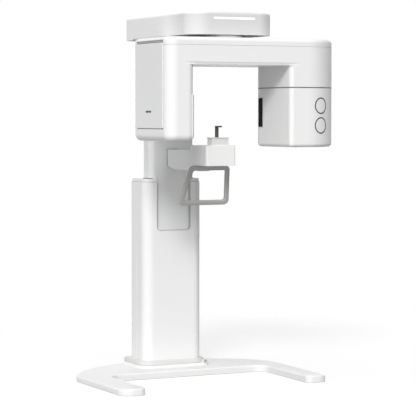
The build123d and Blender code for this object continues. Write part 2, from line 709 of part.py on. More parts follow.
def column_shell(inset):
    """Hollow outer column, its outside inset by the given amount."""
    hollow = column_body(WALL, COLUMN_BOTTOM_Z - OVERRUN, COLUMN_TOP_Z + OVERRUN)
    return column_body(inset, COLUMN_BOTTOM_Z, COLUMN_TOP_Z) - hollow


def slot_outline(grow):
    """Slot for the chin bracket, in X and Z, open at the top."""
    half = SLOT_HALF_WIDTH + grow
    outline = rect(-half, half, SLOT_BOTTOM_Z - grow, COLUMN_TOP_Z)
    return fillet(outline.vertices().group_by(Axis.Y)[0], SLOT_RADIUS + grow)


def strip_zone(gap):
    """Side of the column where a service strip closes the front cover."""
    x_low = COLUMN_HALF_X - COLUMN_RADIUS
    x_high = COLUMN_HALF_X + OVERRUN
    y_high = COLUMN_SEAM_Y - gap
    low_z = COLUMN_BOTTOM_Z - OVERRUN
    return block(x_low, x_high, STRIP_FRONT_Y + gap, y_high, low_z, STRIP_TOP_Z - gap)


def front_half(gap):
    reach = COLUMN_HALF_X + OVERRUN
    front_y = -COLUMN_HALF_Y - OVERRUN
    seam_y = COLUMN_SEAM_Y - gap
    return block(-reach, reach, front_y, seam_y, 0, COLUMN_TOP_Z + OVERRUN)


def column_front_cover():
    front_y = -COLUMN_HALF_Y
    lip_y = INNER_FRONT_Y - INNER_GAP
    cover = column_shell(0) & front_half(0)
    lips = slot_outline(SLOT_LIP_WALL) - slot_outline(0)
    cover += front_prism(lips, front_y + WALL / 2, lip_y)
    cover -= front_prism(slot_outline(0), front_y - OVERRUN, lip_y + OVERRUN)
    zone = strip_zone(0)
    return cover - zone - mirrored(zone)


def column_side_strip():
    return column_shell(STRIP_INSET) & strip_zone(GAP)


def column_rear_cover():
    return column_shell(0) - front_half(-SEAM / 2)


def inner_plan(inset):
    return rounded_rect(
        -INNER_HALF_X + inset,
        INNER_HALF_X - inset,
        INNER_FRONT_Y + inset,
        INNER_REAR_Y - inset,
        INNER_RADIUS - inset,
    )


def column_collar():
    collar = column_body(COLLAR_INSET, COLUMN_TOP_Z, COLLAR_TOP_Z)
    collar = fillet(top_edges(collar), COLLAR_EDGE_RADIUS)
    collar -= prism(inner_plan(-INNER_GAP), COLUMN_TOP_Z - OVERRUN, COLLAR_TOP_Z + OVERRUN)
    mouth = rect(-SLOT_HALF_WIDTH, SLOT_HALF_WIDTH, -COLUMN_HALF_Y, INNER_FRONT_Y)
    return collar - prism(mouth, COLUMN_TOP_Z - OVERRUN, COLLAR_TOP_Z + OVERRUN)


# Lift


def column_spine():
    """Folded steel channel that carries the rails."""
    rear_y = SPINE_FRONT_Y + SPINE_SHEET + SPINE_RETURN
    whole = block(
        -SPINE_HALF_X, SPINE_HALF_X, SPINE_FRONT_Y, rear_y, COLUMN_BOTTOM_Z, SPINE_TOP_Z
    )
    inner_x = SPINE_HALF_X - SPINE_SHEET
    inner_y = SPINE_FRONT_Y + SPINE_SHEET
    low_z = COLUMN_BOTTOM_Z - OVERRUN
    return whole - block(
        -inner_x, inner_x, inner_y, rear_y + OVERRUN, low_z, SPINE_TOP_Z + OVERRUN
    )


def guide_rails():
    rails = []
    for x in (-RAIL_X, RAIL_X):
        low_z = COLUMN_BOTTOM_Z + RAIL_END_GAP
        high_z = SPINE_TOP_Z - RAIL_END_GAP
        rear_y = SPINE_FRONT_Y
        half = RAIL_WIDTH / 2
        rails.append(block(x - half, x + half, rear_y - RAIL_DEPTH, rear_y, low_z, high_z))
    return group(rails)


def guide_carriages():
    """Blocks on the back of the lifting column that grip the rails."""
    blocks = []
    rail_y = SPINE_FRONT_Y - RAIL_DEPTH
    for x in (-RAIL_X, RAIL_X):
        for step in range(2):
            low_z = INNER_BOTTOM_Z + CARRIAGE_START + step * CARRIAGE_SPACING
            high_z = low_z + CARRIAGE_HEIGHT
            half = CARRIAGE_WIDTH / 2
            body = block(x - half, x + half, INNER_REAR_Y, rail_y + CARRIAGE_GRIP, low_z, high_z)
            groove = RAIL_WIDTH / 2 + GAP
            body -= block(
                x - groove,
                x + groove,
                rail_y - GAP,
                rail_y + CARRIAGE_GRIP + OVERRUN,
                low_z - OVERRUN,
                high_z + OVERRUN,
            )
            blocks.append(body)
    return group(blocks)


def inner_column():
    tube = prism(inner_plan(0), INNER_BOTTOM_Z, TOP_BOTTOM_Z)
    tube -= prism(inner_plan(INNER_WALL), INNER_BOTTOM_Z - OVERRUN, TOP_BOTTOM_Z + OVERRUN)
    for x, z in bracket_bolt_places():
        hole = Pos(x, z) * Circle(BRACKET_BOLT_RADIUS + GAP)
        tube -= front_prism(hole, INNER_FRONT_Y - OVERRUN, INNER_FRONT_Y + OVERRUN)
    return tube


def lift_gearbox():
    plan = rounded_rect(
        GEARBOX_LEFT_X,
        GEARBOX_RIGHT_X,
        ACTUATOR_Y - GEARBOX_HALF_Y,
        ACTUATOR_Y + GEARBOX_HALF_Y,
        GEARBOX_RADIUS,
    )
    return prism(plan, COLUMN_BOTTOM_Z, GEARBOX_TOP_Z)


def lift_motor():
    top_z = GEARBOX_TOP_Z + LIFT_MOTOR_HEIGHT
    motor = disc(LIFT_MOTOR_X, ACTUATOR_Y, LIFT_MOTOR_RADIUS, GEARBOX_TOP_Z, top_z)
    cap_top_z = top_z + LIFT_MOTOR_CAP_HEIGHT
    return motor + disc(LIFT_MOTOR_X, ACTUATOR_Y, LIFT_MOTOR_CAP_RADIUS, top_z, cap_top_z)


def actuator_tube():
    return ring(
        0,
        ACTUATOR_Y,
        ACTUATOR_BORE_RADIUS,
        ACTUATOR_TUBE_RADIUS,
        GEARBOX_TOP_Z,
        ACTUATOR_TUBE_TOP_Z,
    )


def actuator_rod():
    radius = ACTUATOR_ROD_RADIUS
    return disc(0, ACTUATOR_Y, radius, ACTUATOR_ROD_LOW_Z, ACTUATOR_ROD_TOP_Z)


def rod_plate():
    """Cross plate in the lifting column that the actuator's rod pushes on."""
    top_z = ACTUATOR_ROD_TOP_Z + ROD_PLATE_THICKNESS
    plate = prism(inner_plan(INNER_WALL + GAP), ACTUATOR_ROD_TOP_Z, top_z)
    low_z = ACTUATOR_ROD_TOP_Z - OVERRUN
    return plate - disc(FOOT_CABLE_X, ACTUATOR_Y, FOOT_CABLE_RADIUS, low_z, top_z + OVERRUN)


def power_supply():
    front_y = SPINE_FRONT_Y + SPINE_SHEET
    high_z = SUPPLY_LOW_Z + SUPPLY_HEIGHT
    rear_y = front_y + SUPPLY_DEPTH
    return block(-SUPPLY_HALF_X, SUPPLY_HALF_X, front_y, rear_y, SUPPLY_LOW_Z, high_z)


# Chin support


def bracket_outline(inset):
    """Chin bracket in Y and Z, its lower corner at the column cut away."""
    rear_y = INNER_FRONT_Y
    low_z = BRACKET_BOTTOM_Z + inset
    return polygon(
        (rear_y, BRACKET_TOP_Z - inset),
        (BOX_REAR_Y + inset, BRACKET_TOP_Z - inset),
        (BOX_REAR_Y + inset, low_z),
        (rear_y - BRACKET_CUT_LENGTH, low_z),
        (rear_y, low_z + BRACKET_CUT_HEIGHT),
    )


def chin_bracket():
    half = BRACKET_HALF_X
    bracket = side_prism(bracket_outline(0), -half, half)
    long_edges = bracket.edges().filter_by(Axis.Y)
    bracket = fillet(long_edges, BRACKET_EDGE_RADIUS)
    inner_half = half - BRACKET_WALL
    hollow = side_prism(bracket_outline(BRACKET_WALL), -inner_half, inner_half)
    rear_wall = block(
        -half, half, INNER_FRONT_Y - BRACKET_WALL, INNER_FRONT_Y, BRACKET_BOTTOM_Z, BRACKET_TOP_Z
    )
    bracket -= hollow - rear_wall
    for x, z in bracket_bolt_places():
        hole = Pos(x, z) * Circle(BRACKET_BOLT_RADIUS + GAP)
        bracket -= front_prism(hole, INNER_FRONT_Y - BRACKET_WALL - GAP, INNER_FRONT_Y + OVERRUN)
    return bracket


def bracket_bolt_places():
    margin = BRACKET_WALL + 2 * BRACKET_BOLT_RADIUS
    low_z = BRACKET_BOTTOM_Z + BRACKET_CUT_HEIGHT + margin
    high_z = BRACKET_TOP_Z - margin
    return [(x, z) for x in (-BRACKET_BOLT_X, BRACKET_BOLT_X) for z in (low_z, high_z)]


def bracket_bolts():
    bolts = []
    seat_y = INNER_FRONT_Y + INNER_WALL
    for x, z in bracket_bolt_places():
        shank = front_prism(
            Pos(x, z) * Circle(BRACKET_BOLT_RADIUS), INNER_FRONT_Y - BRACKET_WALL, seat_y
        )
        head = front_prism(
            Pos(x, z) * RegularPolygon(BRACKET_BOLT_HEAD_RADIUS, 6),
            seat_y,
            seat_y + BRACKET_BOLT_HEAD_HEIGHT,
        )
        bolts.append(shank + head)
    return group(bolts)


def box_plan(inset):
    return rounded_rect(
        -BOX_HALF_X + inset,
        BOX_HALF_X - inset,
        BOX_FRONT_Y + inset,
        BOX_REAR_Y - inset,
        BOX_RADIUS - inset,
    )


def chin_box_cover():
    cover = prism(box_plan(0), BOX_BOTTOM_Z, BOX_TOP_Z)
    cover = fillet(top_edges(cover), BOX_EDGE_RADIUS)
    return cover - prism(box_plan(WALL), BOX_BOTTOM_Z - OVERRUN, BOX_TOP_Z - WALL)


def chin_box_floor():
    return prism(box_plan(WALL + GAP), BOX_BOTTOM_Z, BOX_BOTTOM_Z + BOX_FLOOR)


def holder_plan(grow):
    return rounded_rect(
        -HOLDER_HALF_X - grow,
        HOLDER_HALF_X + grow,
        HOLDER_Y - HOLDER_HALF_Y - grow,
        HOLDER_Y + HOLDER_HALF_Y + grow,
        HOLDER_RADIUS + grow,
    )


def bite_holder():
    """Ribbed block on the chin box, with the socket of the bite block."""
    plate_z = HOLDER_TOP_Z - HOLDER_PLATE_THICKNESS
    holder = prism(holder_plan(0), BOX_TOP_Z, plate_z)
    low_z = BOX_TOP_Z + RIB_GROOVE_FOOT
    front_y = HOLDER_Y - HOLDER_HALF_Y
    rear_y = HOLDER_Y + HOLDER_HALF_Y
    count = int(HOLDER_HALF_X / RIB_PITCH)
    for step in range(-count, count + 1):
        x = step * RIB_PITCH
        half = RIB_GROOVE_WIDTH / 2
        for y in (front_y, rear_y):
            low_y = y - RIB_GROOVE_DEPTH
            high_y = y + RIB_GROOVE_DEPTH
            holder -= block(x - half, x + half, low_y, high_y, low_z, plate_z)
    holder += prism(holder_plan(HOLDER_PLATE_MARGIN), plate_z, HOLDER_TOP_Z)
    return holder - disc(0, BITE_Y, BITE_RADIUS + GAP, BITE_FOOT_Z, HOLDER_TOP_Z + OVERRUN)


def bite_block():
    """Round stick with a flat tip that points at the patient."""
    stick = disc(0, BITE_Y, BITE_RADIUS, BITE_FOOT_Z, BITE_TOP_Z)
    tip = prism(
        rounded_rect(
            -BITE_TIP_HALF_X,
            BITE_TIP_HALF_X,
            BITE_Y - BITE_RADIUS - BITE_TIP_LENGTH,
            BITE_Y,
            BITE_TIP_RADIUS,
        ),
        BITE_TOP_Z - BITE_TIP_THICKNESS,
        BITE_TOP_Z,
    )
    return stick + tip


def hand_grip():
    """Trapezoid loop in its own sloping plane, hung under the chin box."""
    length = hypot(GRIP_DROP, GRIP_SETBACK)
    rise = GRIP_DROP / length
    lean = GRIP_SETBACK / length
    half_bar = GRIP_BAR / 2
    half_depth = GRIP_DEPTH / 2
    reach = (half_bar - GRIP_EDGE_RADIUS) * rise + (half_depth - GRIP_EDGE_RADIUS) * lean
    top_z = BOX_BOTTOM_Z - GAP - GRIP_EDGE_RADIUS - reach
    plane = Plane(origin=(0, GRIP_TOP_Y, top_z), x_dir=(1, 0, 0), z_dir=(0, -rise, -lean))
    outer = polygon(
        (-GRIP_TOP_HALF_X, half_bar),
        (GRIP_TOP_HALF_X, half_bar),
        (GRIP_BOTTOM_HALF_X, -length - half_bar),
        (-GRIP_BOTTOM_HALF_X, -length - half_bar),
    )
    inner = offset(outer, amount=-GRIP_BAR, kind=Kind.INTERSECTION)
    outer = fillet(outer.vertices(), GRIP_CORNER_RADIUS)
    inner = fillet(inner.vertices(), GRIP_CORNER_RADIUS / 2)
    loop = extrude(plane * (outer - inner), amount=half_depth, both=True)
    faces = loop.faces().sort_by(Axis(plane.origin, plane.z_dir))
    return fillet(faces[0].edges() + faces[-1].edges(), GRIP_EDGE_RADIUS)


# Top frame


def top_plan(inset):
    half = TOP_HALF_X - inset
    plan = rect(-half, half, TOP_FRONT_Y + inset, TOP_REAR_Y - inset)
    plan = fillet(plan.vertices().group_by(Axis.Y)[0], TOP_FRONT_RADIUS - inset)
    return fillet(plan.vertices().group_by(Axis.Y)[-1], TOP_REAR_RADIUS - inset)


def top_body(inset, low_z):
    """Top frame as a solid, its roof crowned across."""
    side_z = TOP_BOTTOM_Z + TOP_HEIGHT - inset
    half = TOP_HALF_X + OVERRUN
    roof = ThreePointArc((-half, side_z), (0, side_z + TOP_CROWN), (half, side_z))
    rest = Polyline((half, side_z), (half, low_z), (-half, low_z), (-half, side_z))
    across = front_prism(make_face(roof + rest), TOP_FRONT_Y - OVERRUN, TOP_REAR_Y + OVERRUN)
    return prism(top_plan(inset), low_z, side_z + TOP_CROWN) & across


def light_outline(inset):
    half_height = LIGHT_HEIGHT / 2 - inset
    length = 2 * (LIGHT_HALF_X - inset)
    return Pos(0, LIGHT_Z) * SlotOverall(length, 2 * half_height)


def top_cover():
    body = top_body(0, TOP_BOTTOM_Z)
    body = fillet(top_edges(body), TOP_EDGE_RADIUS)
    rear = rect(-TOP_HALF_X, TOP_HALF_X, SKIRT_FRONT_Y, TOP_REAR_Y)
    skirt_z = TOP_BOTTOM_Z - SKIRT_DEPTH
    body += prism(top_plan(0) & rear, skirt_z, TOP_BOTTOM_Z)
    body -= top_body(WALL, skirt_z - OVERRUN)
    body -= prism(inner_plan(-GAP), skirt_z - OVERRUN, TOP_BOTTOM_Z)
    return body - front_prism(light_outline(0), TOP_FRONT_Y - OVERRUN, TOP_FRONT_Y + 2 * WALL)


def light_strip():
    front_y = TOP_FRONT_Y + LIGHT_INSET
    return front_prism(light_outline(GAP), front_y, front_y + LIGHT_DEPTH)


def top_plate():
    plate = prism(top_plan(WALL + GAP), TOP_BOTTOM_Z, PLATE_TOP_Z)
    low_z = TOP_BOTTOM_Z - OVERRUN
    high_z = PLATE_TOP_Z + OVERRUN
    plate -= disc(0, AXIS_Y, SHAFT_RADIUS + SHAFT_PLATE_GAP, low_z, high_z)
    return plate - disc(0, ACTUATOR_Y, CABLE_PORT_RADIUS, low_z, high_z)


# Turning bearing and drive


def bearing_outer_ring():
    outer_radius = LINER_RADIUS + OUTER_RING_WALL
    return ring(0, AXIS_Y, LINER_RADIUS, outer_radius, PLATE_TOP_Z, BEARING_TOP_Z)


def bearing_liner():
    """Plain bearing: a sleeve with a collar that carries the C-arm's weight."""
    bore = INNER_RING_RADIUS + GAP
    sleeve = ring(0, AXIS_Y, bore, LINER_RADIUS, PLATE_TOP_Z, LINER_TOP_Z)
    return sleeve + ring(0, AXIS_Y, bore, FLANGE_RADIUS, BEARING_TOP_Z, LINER_TOP_Z)


def bearing_inner_ring():
    bore = SHAFT_RADIUS + FIT
    sleeve = ring(0, AXIS_Y, bore, INNER_RING_RADIUS, PLATE_TOP_Z + GAP, PULLEY_LOW_Z)
    return sleeve + ring(0, AXIS_Y, bore, FLANGE_RADIUS, LINER_TOP_Z + GAP, PULLEY_LOW_Z)


def arm_pulley():
    return ring(0, AXIS_Y, SHAFT_RADIUS + FIT, ARM_PULLEY_RADIUS, PULLEY_LOW_Z, PULLEY_TOP_Z)


def spindle_nut():
    plan = Pos(0, AXIS_Y) * (RegularPolygon(NUT_RADIUS, 8) - Circle(SHAFT_RADIUS + FIT))
    return prism(plan, PULLEY_TOP_Z, NUT_TOP_Z)


def turn_motor():
    plan = rounded_rect(
        -TURN_MOTOR_HALF,
        TURN_MOTOR_HALF,
        DRIVE_Y - TURN_MOTOR_HALF,
        DRIVE_Y + TURN_MOTOR_HALF,
        TURN_MOTOR_RADIUS,
    )
    top_z = PULLEY_LOW_Z - GAP
    motor = prism(plan, PLATE_TOP_Z, top_z)
    bore_z = top_z - DRIVE_SHAFT_DEPTH - GAP
    return motor - disc(0, DRIVE_Y, DRIVE_SHAFT_RADIUS + FIT, bore_z, top_z + OVERRUN)


def drive_pulley():
    shaft = disc(
        0, DRIVE_Y, DRIVE_SHAFT_RADIUS, PULLEY_LOW_Z - GAP - DRIVE_SHAFT_DEPTH, PULLEY_LOW_Z
    )
    return shaft + disc(0, DRIVE_Y, DRIVE_PULLEY_RADIUS, PULLEY_LOW_Z, PULLEY_TOP_Z)


def belt_outline(grow):
    circles = Pos(0, AXIS_Y) * Circle(ARM_PULLEY_RADIUS + grow)
    circles += Pos(0, DRIVE_Y) * Circle(DRIVE_PULLEY_RADIUS + grow)
    return make_hull(circles.edges())


def drive_belt():
    middle_z = (PULLEY_LOW_Z + PULLEY_TOP_Z) / 2
    band = belt_outline(GAP + BELT_THICKNESS) - belt_outline(GAP)
    return prism(band, middle_z - BELT_WIDTH / 2, middle_z + BELT_WIDTH / 2)


def spindle_bolt_places():
    turn = radians(SPINDLE_BOLT_TURN_DEG)
    x = SPINDLE_BOLT_CIRCLE_RADIUS * cos(turn)
    y = SPINDLE_BOLT_CIRCLE_RADIUS * sin(turn)
    return [(side * x, AXIS_Y + end * y) for side in (-1, 1) for end in (-1, 1)]


def spindle():
    """Hollow shaft with the neck that shows between the top frame and the C-arm."""
    neck_top_z = TOP_BOTTOM_Z - NECK_GAP
    flange = disc(0, AXIS_Y, SPINDLE_FLANGE_RADIUS, SPAR_TOP_Z, SPINDLE_NECK_Z)
    neck = disc(0, AXIS_Y, NECK_RADIUS, SPINDLE_NECK_Z, neck_top_z)
    shaft = disc(0, AXIS_Y, SHAFT_RADIUS, neck_top_z, NUT_TOP_Z)
    body = flange + neck + shaft
    body -= disc(0, AXIS_Y, SHAFT_BORE_RADIUS, SPAR_TOP_Z - OVERRUN, NUT_TOP_Z + OVERRUN)
    for x, y in spindle_bolt_places():
        low_z = SPAR_TOP_Z - OVERRUN
        body -= disc(x, y, SPINDLE_BOLT_RADIUS + GAP, low_z, SPINDLE_NECK_Z + OVERRUN)
    return body


def spindle_bolts():
    bolts = []
    seat_z = SPAR_TOP_Z - SPAR_SHEET
    for x, y in spindle_bolt_places():
        head_top_z = SPINDLE_NECK_Z + SPINDLE_BOLT_HEAD_HEIGHT
        head = disc(x, y, SPINDLE_BOLT_HEAD_RADIUS, SPINDLE_NECK_Z, head_top_z)
        bolts.append(head + disc(x, y, SPINDLE_BOLT_RADIUS, seat_z, SPINDLE_NECK_Z))
    return group(bolts)


# C-arm


def arm_plan(inset, end_inset):
    """Beam in plan: square end at the detector, half round at the tube head."""
    half = ARM_HALF_DEPTH - inset
    left_x = ARM_LEFT_X + end_inset
    plan = rect(left_x, ARM_HEAD_X, AXIS_Y - half, AXIS_Y + half)
    plan = fillet(plan.vertices().group_by(Axis.X)[0], ARM_CORNER_RADIUS - end_inset)
    return plan + Pos(ARM_HEAD_X, AXIS_Y) * Circle(half)


def post_plan(inset, end_inset, inner_x):
    half = ARM_HALF_DEPTH - inset
    left_x = ARM_LEFT_X + end_inset
    plan = rect(left_x, inner_x - inset, AXIS_Y - half, AXIS_Y + half)
    plan = fillet(plan.vertices().group_by(Axis.X)[0], ARM_CORNER_RADIUS - end_inset)
    return fillet(plan.vertices().group_by(Axis.X)[-1], POST_EDGE_RADIUS - inset)


def post_body(inset, end_inset, inner_x, top_z):
    """Detector post, its lower rim rounded all the way round."""
    body = prism(post_plan(inset, end_inset, inner_x), POST_BOTTOM_Z + inset, top_z)
    return fillet(bottom_edges(body), POST_RIM_RADIUS - inset)


def detector_pad():
    """Moulded pad that thickens the lower part of the post, sloped at the top."""
    reach = ARM_HALF_DEPTH - PAD_EDGE
    side = rect(AXIS_Y - reach, AXIS_Y + reach, POST_BOTTOM_Z + PAD_EDGE, SWELL_TOP_Z)
    side = fillet(side.vertices().group_by(Axis.Y)[0], POST_BOTTOM_RADIUS - PAD_EDGE)
    pad = post_body(0, 0, DETECTOR_FACE_X, SWELL_TOP_Z)
    pad -= post_body(0, 0, POST_INNER_X, SWELL_TOP_Z + OVERRUN)
    pad &= side_prism(side, ARM_LEFT_X, DETECTOR_FACE_X + OVERRUN)
    slope = polygon(
        (POST_INNER_X - OVERRUN, SWELL_TOP_Z + OVERRUN),
        (POST_INNER_X, SWELL_TOP_Z),
        (DETECTOR_FACE_X, SWELL_TOP_Z - SWELL_SLOPE_HEIGHT),
        (DETECTOR_FACE_X + OVERRUN, SWELL_TOP_Z - SWELL_SLOPE_HEIGHT),
        (DETECTOR_FACE_X + OVERRUN, SWELL_TOP_Z + OVERRUN),
    )
    pad -= front_prism(slope, AXIS_Y - ARM_HALF_DEPTH, AXIS_Y + ARM_HALF_DEPTH)
    return pad - window_prism(-GAP, DETECTOR_FACE_X - WINDOW_SEAT, DETECTOR_FACE_X + OVERRUN)


def head_plan(inset):
    """Tube head in plan: flat towards the patient, half round outside."""
    half = ARM_HALF_DEPTH - inset
    inner_x = HEAD_INNER_X + inset
    plan = rect(inner_x, ARM_HEAD_X, AXIS_Y - half, AXIS_Y + half)
    rear_radius = min(HEAD_REAR_RADIUS, ARM_HEAD_X - HEAD_INNER_X - GAP) - inset
    corners = plan.vertices().group_by(Axis.X)[0].sort_by(Axis.Y)
    plan = fillet(corners[0], HEAD_FRONT_RADIUS - inset)
    corners = plan.vertices().sort_by(Axis.Y).group_by(Axis.Y)[-1].sort_by(Axis.X)
    plan = fillet(corners[0], rear_radius)
    reach = half + OVERRUN
    outside = rect(ARM_HEAD_X, ARM_HEAD_X + reach, AXIS_Y - reach, AXIS_Y + reach)
    return plan + (Pos(ARM_HEAD_X, AXIS_Y) * Circle(half) & outside)


def crease():
    """Shallow bevel of the beam's lower front edge, run out on the post and the head."""
    front_y = AXIS_Y - ARM_HALF_DEPTH
    section = polygon(
        (front_y - CREASE_DEPTH, BEAM_BOTTOM_Z),
        (front_y + CREASE_DEPTH, BEAM_BOTTOM_Z),
        (front_y + CREASE_STEP, BEAM_BOTTOM_Z + CREASE_HEIGHT),
        (front_y - CREASE_DEPTH, BEAM_BOTTOM_Z + CREASE_HEIGHT),
    )
    end_depth = CREASE_DEPTH * CREASE_END_SHARE
    end = polygon(
        (front_y - CREASE_DEPTH, BEAM_BOTTOM_Z + CREASE_HEIGHT / 2),
        (front_y + end_depth, BEAM_BOTTOM_Z + CREASE_HEIGHT / 2),
        (front_y + CREASE_STEP * CREASE_END_SHARE, BEAM_BOTTOM_Z + CREASE_HEIGHT),
        (front_y - CREASE_DEPTH, BEAM_BOTTOM_Z + CREASE_HEIGHT),
    )
    cut = side_prism(section, POST_INNER_X, HEAD_INNER_X)
    for edge_x, turn in ((POST_INNER_X, -1), (HEAD_INNER_X, 1)):
        start = Pos(edge_x, 0, 0) * (Plane.YZ * section)
        finish = Pos(edge_x + turn * CREASE_RUNOUT, 0, 0) * (Plane.YZ * end)
        cut += loft([start, finish], ruled=True)
    return cut


def panel_pocket():
    return block(
        ARM_LEFT_X - OVERRUN,
        ARM_LEFT_X + PANEL_POCKET,
        AXIS_Y - PANEL_HALF_Y,
        AXIS_Y + PANEL_HALF_Y,
        PANEL_LOW_Z,
        PANEL_HIGH_Z,
    )


def arm_shell():
    """Moulded C-shaped housing, open at the top, under the tube head and behind the panel."""
    high_z = LID_BOTTOM_Z + OVERRUN
    shell = prism(arm_plan(0, 0), BEAM_BOTTOM_Z, LID_BOTTOM_Z)
    shell += post_body(0, 0, POST_INNER_X, LID_BOTTOM_Z)
    shell += prism(head_plan(0), HEAD_SEAM_Z, LID_BOTTOM_Z)
    shell -= prism(arm_plan(WALL, POST_END_WALL), BEAM_BOTTOM_Z + WALL, high_z)
    shell -= post_body(WALL, POST_END_WALL, POST_INNER_X, high_z)
    shell -= prism(head_plan(WALL), HEAD_SEAM_Z - OVERRUN, high_z)
    shell -= crease()
    shell -= mirror(crease(), about=Plane.XZ.offset(-AXIS_Y))
    shell -= panel_pocket()
    half = PANEL_HALF_Y - PANEL_LEDGE
    return shell - block(
        ARM_LEFT_X - OVERRUN,
        ARM_LEFT_X + POST_END_WALL + OVERRUN,
        AXIS_Y - half,
        AXIS_Y + half,
        PANEL_LOW_Z + PANEL_LEDGE,
        LID_BOTTOM_Z - PANEL_LEDGE,
    )


def arm_lid():
    skirt = 2 * WALL
    low_z = LID_BOTTOM_Z + SEAM
    lid = prism(arm_plan(0, 0), low_z, ARM_TOP_Z)
    lid = fillet(top_edges(lid), LID_EDGE_RADIUS)
    hollow = prism(arm_plan(skirt, skirt), low_z - OVERRUN, ARM_TOP_Z - WALL)
    lid -= fillet(top_edges(hollow), LID_EDGE_RADIUS - WALL)
    tongue = arm_plan(WALL + GAP, POST_END_WALL + GAP) - arm_plan(skirt, POST_END_WALL + skirt)
    lid += prism(tongue, LID_BOTTOM_Z - LIP, low_z + LIP)
    lid -= disc(0, AXIS_Y, NECK_RADIUS + GAP, LID_BOTTOM_Z, ARM_TOP_Z + OVERRUN)
    return lid - panel_pocket()


def side_panel():
    plan = rounded_rect(
        AXIS_Y - PANEL_HALF_Y + PANEL_GAP,
        AXIS_Y + PANEL_HALF_Y - PANEL_GAP,
        PANEL_LOW_Z + PANEL_GAP,
        PANEL_HIGH_Z - PANEL_FINGER_GAP,
        PANEL_RADIUS,
    )
    panel = side_prism(plan, ARM_LEFT_X - PANEL_PROUD, ARM_LEFT_X + PANEL_POCKET)
    return chamfer(panel.faces().sort_by(Axis.X)[0].edges(), PANEL_BEVEL)


def head_rim(inner_inset, outer_inset, z_low, z_high):
    return prism(head_plan(outer_inset) - head_plan(inner_inset), z_low, z_high)


def slit_zone(gap):
    high_z = SLIT_LOW_Z + SLIT_HEIGHT
    return block(
        HEAD_INNER_X - OVERRUN,
        ARM_HEAD_X,
        SLIT_FRONT_Y - gap,
        SLIT_REAR_Y + gap,
        SLIT_LOW_Z - gap,
        high_z + gap,
    )


def head_cover():
    """Lower cover of the tube head, a deep cup with a tongue into the housing above."""
    top_z = HEAD_SEAM_Z - SEAM
    cover = prism(head_plan(0), HEAD_BOTTOM_Z, top_z)
    cover = fillet(bottom_edges(cover), HEAD_BOTTOM_RADIUS)
    hollow = prism(head_plan(WALL), HEAD_BOTTOM_Z + WALL, top_z + OVERRUN)
    cover -= fillet(bottom_edges(hollow), HEAD_BOTTOM_RADIUS - WALL)
    cover += head_rim(2 * WALL, WALL, top_z - HEAD_RIM_HEIGHT, top_z)
    cover += head_rim(2 * WALL, WALL + GAP, top_z - HEAD_RIM_HEIGHT, HEAD_SEAM_Z + LIP)
    seat = head_rim(SLIT_SEAT, -SLIT_PROUD, SLIT_LOW_Z - WALL, SLIT_LOW_Z + SLIT_HEIGHT + WALL)
    cover -= seat & slit_zone(GAP)
    for z in (CAP_LOWER_Z, CAP_UPPER_Z):
        cover -= cap_piece(0, CAP_RING_RADIUS + GAP, CAP_SEAT, CAP_RING_PROUD, z)
    return cover


def beam_window():
    """Dark strip that the X-rays leave by, bent round the start of the rear corner."""
    high_z = SLIT_LOW_Z + SLIT_HEIGHT
    return head_rim(SLIT_SEAT, -SLIT_PROUD, SLIT_LOW_Z, high_z) & slit_zone(0)


def cap_piece(inner_radius, outer_radius, seat, proud, z):
    """Round piece that follows the curve of the tube head."""
    turn = radians(CAP_TURN_DEG)
    along = (cos(turn), sin(turn), 0)
    outward = (sin(turn), -cos(turn), 0)
    plane = Plane(origin=(ARM_HEAD_X, AXIS_Y, z), x_dir=along, z_dir=outward)
    outline = Circle(outer_radius)
    if inner_radius > 0:
        outline -= Circle(inner_radius)
    bar = extrude(plane * outline, amount=ARM_HALF_DEPTH + OVERRUN)
    reach = outer_radius + OVERRUN
    skin = ring(
        ARM_HEAD_X, AXIS_Y, ARM_HALF_DEPTH - seat, ARM_HALF_DEPTH + proud, z - reach, z + reach
    )
    return bar & skin


def cap_rings():
    inner = CAP_RING_RADIUS - CAP_RING_WIDTH
    return group(
        cap_piece(inner, CAP_RING_RADIUS, CAP_SEAT, CAP_RING_PROUD, z)
        for z in (CAP_LOWER_Z, CAP_UPPER_Z)
    )


def service_caps():
    radius = CAP_RING_RADIUS - CAP_RING_WIDTH - GAP
    return group(
        cap_piece(0, radius, CAP_SEAT, CAP_DISC_PROUD, z) for z in (CAP_LOWER_Z, CAP_UPPER_Z)
    )


# Inside the C-arm


def arm_spar():
    """Folded beam that the spindle, the detector and the tube hang on."""
    spar = block(
        SPAR_LEFT_X,
        SPAR_RIGHT_X,
        AXIS_Y - SPAR_HALF_Y,
        AXIS_Y + SPAR_HALF_Y,
        SPAR_LOW_Z,
        SPAR_TOP_Z,
    )
    inner = SPAR_HALF_Y - SPAR_SHEET
    roof_z = SPAR_TOP_Z - SPAR_SHEET
    spar -= block(
        SPAR_LEFT_X - OVERRUN,
        SPAR_RIGHT_X + OVERRUN,
        AXIS_Y - inner,
        AXIS_Y + inner,
        SPAR_LOW_Z - OVERRUN,
        roof_z,
    )
    for x, y in spindle_bolt_places():
        spar -= disc(x, y, SPINDLE_BOLT_RADIUS + GAP, roof_z - OVERRUN, SPAR_TOP_Z + OVERRUN)
    return spar - disc(0, AXIS_Y, SHAFT_BORE_RADIUS, roof_z - OVERRUN, SPAR_TOP_Z + OVERRUN)


def detector_hanger():
    left_x = SPAR_LEFT_X - HANGER_SHEET
    return block(
        left_x,
        SPAR_LEFT_X,
        AXIS_Y - SPAR_HALF_Y,
        AXIS_Y + SPAR_HALF_Y,
        DETECTOR_LOW_Z,
        SPAR_TOP_Z,
    )


def detector_panel():
    return block(
        SPAR_LEFT_X,
        SPAR_LEFT_X + DETECTOR_DEPTH,
        AXIS_Y - DETECTOR_HALF_Y,
        AXIS_Y + DETECTOR_HALF_Y,
        DETECTOR_LOW_Z,
        DETECTOR_LOW_Z + DETECTOR_HEIGHT,
    )


